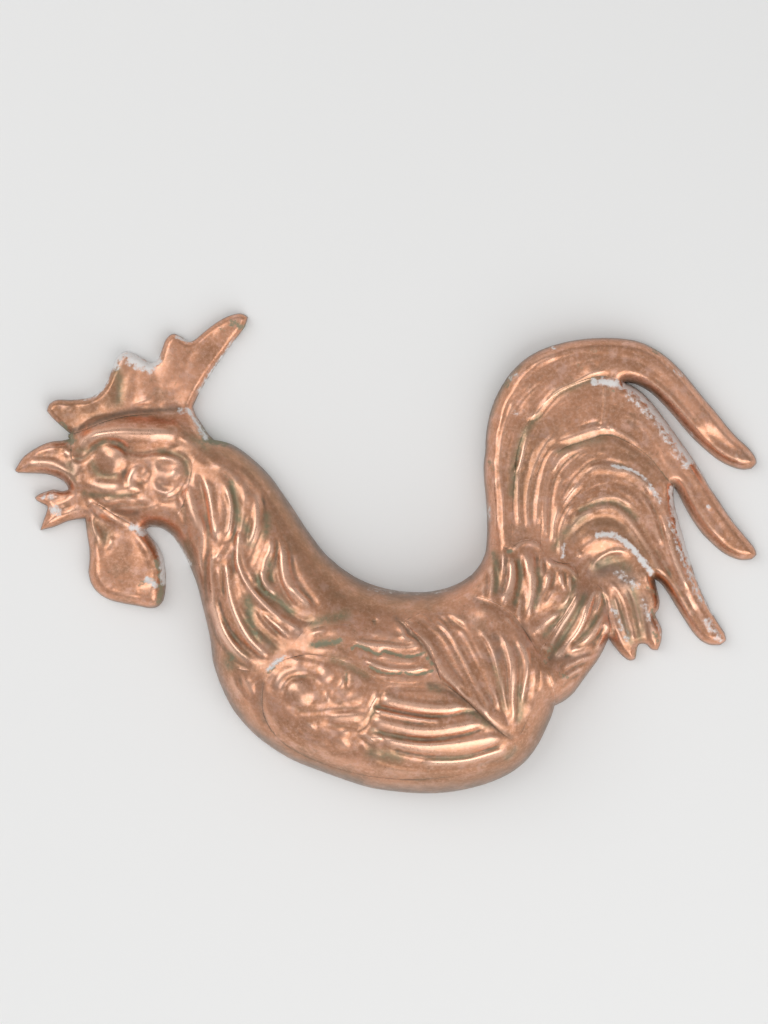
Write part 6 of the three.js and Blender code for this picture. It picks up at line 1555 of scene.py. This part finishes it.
middleSickle = dict(
    finish="rubbed_copper", relief=0.54, swell=0.4,
    edges=[
        "innerValley", "middleSickleFront", "middleSickleTip", "middleSickleBack", "outerValley",
        "covertsTopMiddle",
    ],
    ridges=[
        (1.5, 1.9, [(75, 14), (76, 26), (77.6, 36), (79.6, 44), (83, 50), (88, 53.6)]),
        (1.2, 1.5, [(66.6, 14), (65.6, 28), (66, 40), (69, 52), (73, 60)]),
        (1.2, 1.5, [(71, 12), (70, 24), (71.6, 35), (74.6, 45), (79, 54), (85, 59)]),
        (1.2, 2.2, [(88, 56.6), (96, 59), (104, 61.6), (112, 61.6), (119, 58.6), (126, 53.6)]),
        (0.9, 1.0, [(109, 84), (109.2, 77), (108.6, 70), (107.2, 63)]),
        (1.3, 1.5, [(110, 64.6), (113.6, 61.2)]), (1.2, 1.7, [(105.4, 63.2), (109, 61.6)]),
        (1.3, 3.0, [(120, 76), (128, 71.6), (134, 64), (140, 55), (146, 46)]),
        (1.2, 1.8, [(124, 68), (130, 62), (136, 54), (141, 47)]),
        (1.5, 2.6, [(137, 49), (144, 40), (150, 31), (156, 22), (162, 13), (170, 5)]),
        (1.0, 2.6, [(150, 46), (158, 36), (165, 27), (172, 17), (180, 6)]),
        (0.9, 1.6, [(156, 36), (160, 33)]), (0.9, 1.0, [(160, 23.4), (161, 22.8)]),
    ],
    grooves=[
        (1.0, 1.3, [(63.6, 14), (63.6, 28), (64.4, 42), (67.6, 54)]),
        (1.2, 1.4, [(68.4, 12), (67.8, 26), (68.8, 38), (72, 49), (77, 57)]),
        (1.4, 1.5, [(73.2, 12), (72.8, 24), (74.8, 36), (78, 46), (82.6, 53)]),
        (1.9, 2.0, [(81, 51.4), (86, 54), (92, 54.4), (99, 56.8), (106, 58.6), (112, 58.6), (118.6, 55.6),
            (125, 51), (131, 46.6), (137, 40), (142, 33.6)]),
        (0.8, 1.3, [(111, 83), (111, 74), (110.4, 66)]),
        (1.1, 1.8, [(128, 74), (135, 65.6), (142, 55), (149, 44.6)]),
        (1.0, 1.6, [(148, 41), (156, 30), (163, 20), (171, 10)]),
        (0.8, 1.3, [(126, 62), (132, 55.6), (138, 47.6)]), (0.9, 1.6, [(96, 62), (103, 65.6), (108, 65)]),
    ],
)

innerSickle = dict(
    finish="rubbed_copper", relief=0.64, swell=0.4,
    edges=[
        "plumeTop", "innerSickleFront", "innerSickleTip", "innerSickleBack", "innerValley",
        "covertsTopInner",
    ],
    ridges=[
        (1.4, 1.8, [(79.6, 8), (79, 20), (79.6, 32), (82, 42), (86.6, 49), (93, 52)]),
        (1.1, 1.3, [(83.4, 40), (87, 46.6), (92, 50)]),
        (1.6, 2.0, [(83.4, 4), (84, 14), (87, 23), (92, 30), (97, 35)]),
        (1.4, 1.6, [(87.4, -2), (86.4, 8), (88.6, 17), (93.4, 25)]),
        (1.3, 2.6, [(98, 40.4), (105, 43), (112, 42), (120, 40), (128, 35), (134, 28)]),
        (1.3, 2.0, [(99, 24), (105, 26.6), (111, 28), (117, 27), (122, 23)]),
        (1.2, 1.5, [(114, 32), (121, 29), (127, 23), (132, 14), (137, 4)]),
        (1.5, 2.0, [(133, 30), (137, 22), (140, 12), (142.6, 2), (146, -8), (150.6, -18)]),
        (1.6, 2.4, [(138.6, 16), (141.6, 4), (145.6, -7), (150.6, -18), (156.6, -30), (163, -40)]),
        (1.2, 1.6, [(128, 28), (133, 18), (137.6, 6), (143, -6), (148, -17), (154, -29)]),
        (1.0, 1.6, [(104, 22), (112, 22.6), (119, 18.6), (125, 10), (131, 0), (138, -12)]),
        (0.9, 1.6, [(92, 12), (97, 18.6), (104, 21)]),
    ],
    grooves=[
        (1.5, 1.7, [(81.6, 6), (81.4, 18), (82.4, 30), (85.6, 40), (90, 46.6), (96, 50)]),
        (1.7, 1.9, [(85.4, 20), (90, 31), (94, 37.6), (99, 42.6), (104.6, 45.6), (111, 45.6), (120, 43)]),
        (1.3, 1.4, [(85.2, 2), (85, 12), (88, 21), (92.6, 27.6), (98.6, 33)]),
        (1.8, 1.9, [(93, 19), (98, 22), (104, 25), (110.4, 26.2), (116, 25), (121.6, 21), (127, 14.6),
            (132, 6), (137, -3), (143, -13)]),
        (1.4, 2.6, [(89.6, 0), (91, 7), (97, 13.4), (105, 16.6), (113, 16.4), (120, 11.6), (127, 3),
            (133, -7)]),
        (1.3, 1.4, [(126.6, 33), (132, 25), (136, 15), (139.6, 4), (144, -8), (149.6, -20)]),
        (1.1, 1.5, [(134, 4), (139.6, -7), (146, -18), (153, -30), (160, -40)]),
        (0.8, 1.3, [(112, 36), (120, 33), (127, 26), (132, 17)]),
        (0.9, 2.0, [(88.6, -3), (93, 4), (99.6, 9.6)]),
    ],
    laps=[
        (1.0, 3.4, [(134, 31), (128.6, 36), (121.6, 40.6), (113, 43.2)]),
    ],
)

# Rows of fine barbs: how many, depth, width, seed and the two guide lines they lie between
barbRows = [
    # outer sickle
    (7, 0.38, 1.2, 3, [(58, 62), (64, 80), (76, 92), (92, 98), (110, 99)],
     [(66, 62), (72, 74), (82, 84), (94, 90), (110, 93)]),
    (6, 0.38, 1.2, 5, [(110, 104), (126, 102), (140, 93), (154, 78), (170, 60)],
     [(112, 95), (126, 90), (138, 82), (150, 69), (164, 55)]),
    (4, 0.34, 1.2, 6, [(52, 58), (50.8, 70), (56, 84), (66, 95)], [(56, 58), (57, 70), (62, 80), (70, 90)]),
    # middle sickle
    (11, 0.38, 1.2, 7, [(66, 40), (70, 56), (80, 69), (94, 78), (110, 80)],
     [(80, 46), (84, 55), (92, 60), (100, 63), (109, 64)]),
    (8, 0.38, 1.2, 9, [(111, 81), (122, 78), (132, 70), (142, 57), (150, 44)],
     [(111, 64), (118, 61), (126, 56), (134, 49), (142, 40)]),
    (5, 0.34, 1.2, 10, [(152, 48), (162, 34), (172, 20), (181, 5)],
     [(148, 34), (154, 24), (163, 12), (174, 1)]),
    (6, 0.38, 1.2, 11, [(64, 8), (63.6, 20), (64, 34), (66, 46)], [(76, 8), (75, 20), (76, 34), (79, 44)]),
    # inner sickle
    (10, 0.38, 1.2, 13, [(80, 30), (84, 42), (92, 50), (101, 54), (112, 56)],
     [(90, 30), (94, 38), (100, 43), (105, 46), (112, 47)]),
    (9, 0.41, 1.2, 15, [(86, 14), (90, 26), (98, 36), (108, 41), (118, 39)],
     [(92, 14), (97, 21), (104, 25), (110, 27), (117, 26)]),
    (9, 0.41, 1.2, 17, [(114, 55), (124, 51), (133, 43), (139, 32), (142, 20)],
     [(114, 30), (121, 26), (127, 19), (132, 10), (137, 1)]),
    (6, 0.38, 1.2, 19, [(142, 14), (147, 0), (153, -14), (160, -28), (167, -41)],
     [(134, 2), (139, -9), (146, -20), (154, -32), (163, -43)]),
    (5, 0.38, 1.2, 21, [(93, 12), (99, 19), (107, 23), (115, 22), (122, 16)],
     [(92, 4), (98, 11), (106, 15), (114, 14), (120, 10)]),
    # saddle, wing, tail coverts, fluff, plume and neck
    (12, 0.38, 1.1, 23, [(14, -33), (22, -42), (29, -54), (40, -67), (54, -82)],
     [(58, -32), (66, -42), (71, -54), (68, -68), (64, -84)]),
    (6, 0.34, 1.1, 25, [(0, -69), (14, -70), (28, -72)], [(0, -103), (18, -107), (36, -106)]),
    (6, 0.38, 1.1, 27, [(62, 2), (62, -10), (58, -24)], [(76, 2), (77, -10), (70, -34)]),
    (7, 0.38, 1.1, 29, [(96, -20), (90, -32), (82, -46)], [(110, -30), (104, -46), (90, -62)]),
    (6, 0.34, 1.1, 31, [(108, -14), (111, -28), (119, -46)], [(124, -12), (131, -26), (134, -44)]),
    (9, 0.30, 1.1, 33, [(-97, 24), (-90, 8), (-88, -10), (-86, -30), (-76, -48)],
     [(-62, 20), (-66, 2), (-66, -14), (-58, -28), (-46, -38)]),
]
print("tail read")

for row in barbRows:
    addBarbs(*row)

pieces = dict(
    comb=comb, face=face, upper_beak=upperBeak, lower_beak=lowerBeak, wattle=wattle, neck=neck, back=back,
    breast_and_belly=breastAndBelly, scapular=scapular, wing=wing, saddle=saddle, tail_coverts=tailCoverts,
    tail_fluff=tailFluff, tail_plume=tailPlume, outer_sickle=outerSickle, middle_sickle=middleSickle,
    inner_sickle=innerSickle,
)
for shape in pieces.values():
    addStrokes(shape)
for node, shape in pieces.items():
    copperSection(node, shape)

# Floor and light
studio = dict(
    floor=(0.86, 0.86, 0.855), floorSize=12, floorDrop=0.0002, floorRough=0.9, overhead=0.52, around=0.44,
    turn=(0.4, 0.95),
)
lamps = dict(
    leftSoftbox=dict(place=(-1.2, 0.6, 1.36), size=(1.5, 1.6), power=11.5),
    rightSoftbox=dict(place=(0.76, -1.26, 1.16), size=(2.2, 1.8), power=20.5),
)


def makeStudio(setup):
    bpy.ops.mesh.primitive_plane_add(size=setup["floorSize"], location=(0, 0, -setup["floorDrop"]))
    floor = bpy.context.object
    floor.name = "floor"
    material, _, shader = startMaterial("paleFloor")
    shader.inputs["Base Color"].default_value = (*setup["floor"], 1)
    shader.inputs["Roughness"].default_value = setup["floorRough"]
    floor.data.materials.append(material)
    world = bpy.data.worlds.new("studio")
    scene.world = world
    world.use_nodes = True
    tree = world.node_tree
    way = nodeIn(tree, "ShaderNodeSeparateXYZ")
    tree.links.new(tree.nodes.new("ShaderNodeTexCoord").outputs["Generated"], way.inputs["Vector"])
    strength = rangeIn(tree, way.outputs["Z"], *setup["turn"], setup["around"], setup["overhead"])
    background = tree.nodes["Background"]
    background.inputs["Color"].default_value = (1, 1, 1, 1)
    tree.links.new(strength, background.inputs["Strength"])


# A softbox turned to the middle of the mould
def areaLight(name, place, size, power):
    data = bpy.data.lights.new(name, "AREA")
    data.shape = "RECTANGLE"
    data.size, data.size_y = size
    data.energy = power
    lamp = bpy.data.objects.new(name, data)
    lamp.location = place
    lamp.rotation_euler = (-Vector(place)).to_track_quat("-Z", "Y").to_euler()
    scene.collection.objects.link(lamp)


makeStudio(studio)
for name, lamp in lamps.items():
    areaLight(name, **lamp)
scene.view_settings.view_transform = "Standard"
print("studio set up")
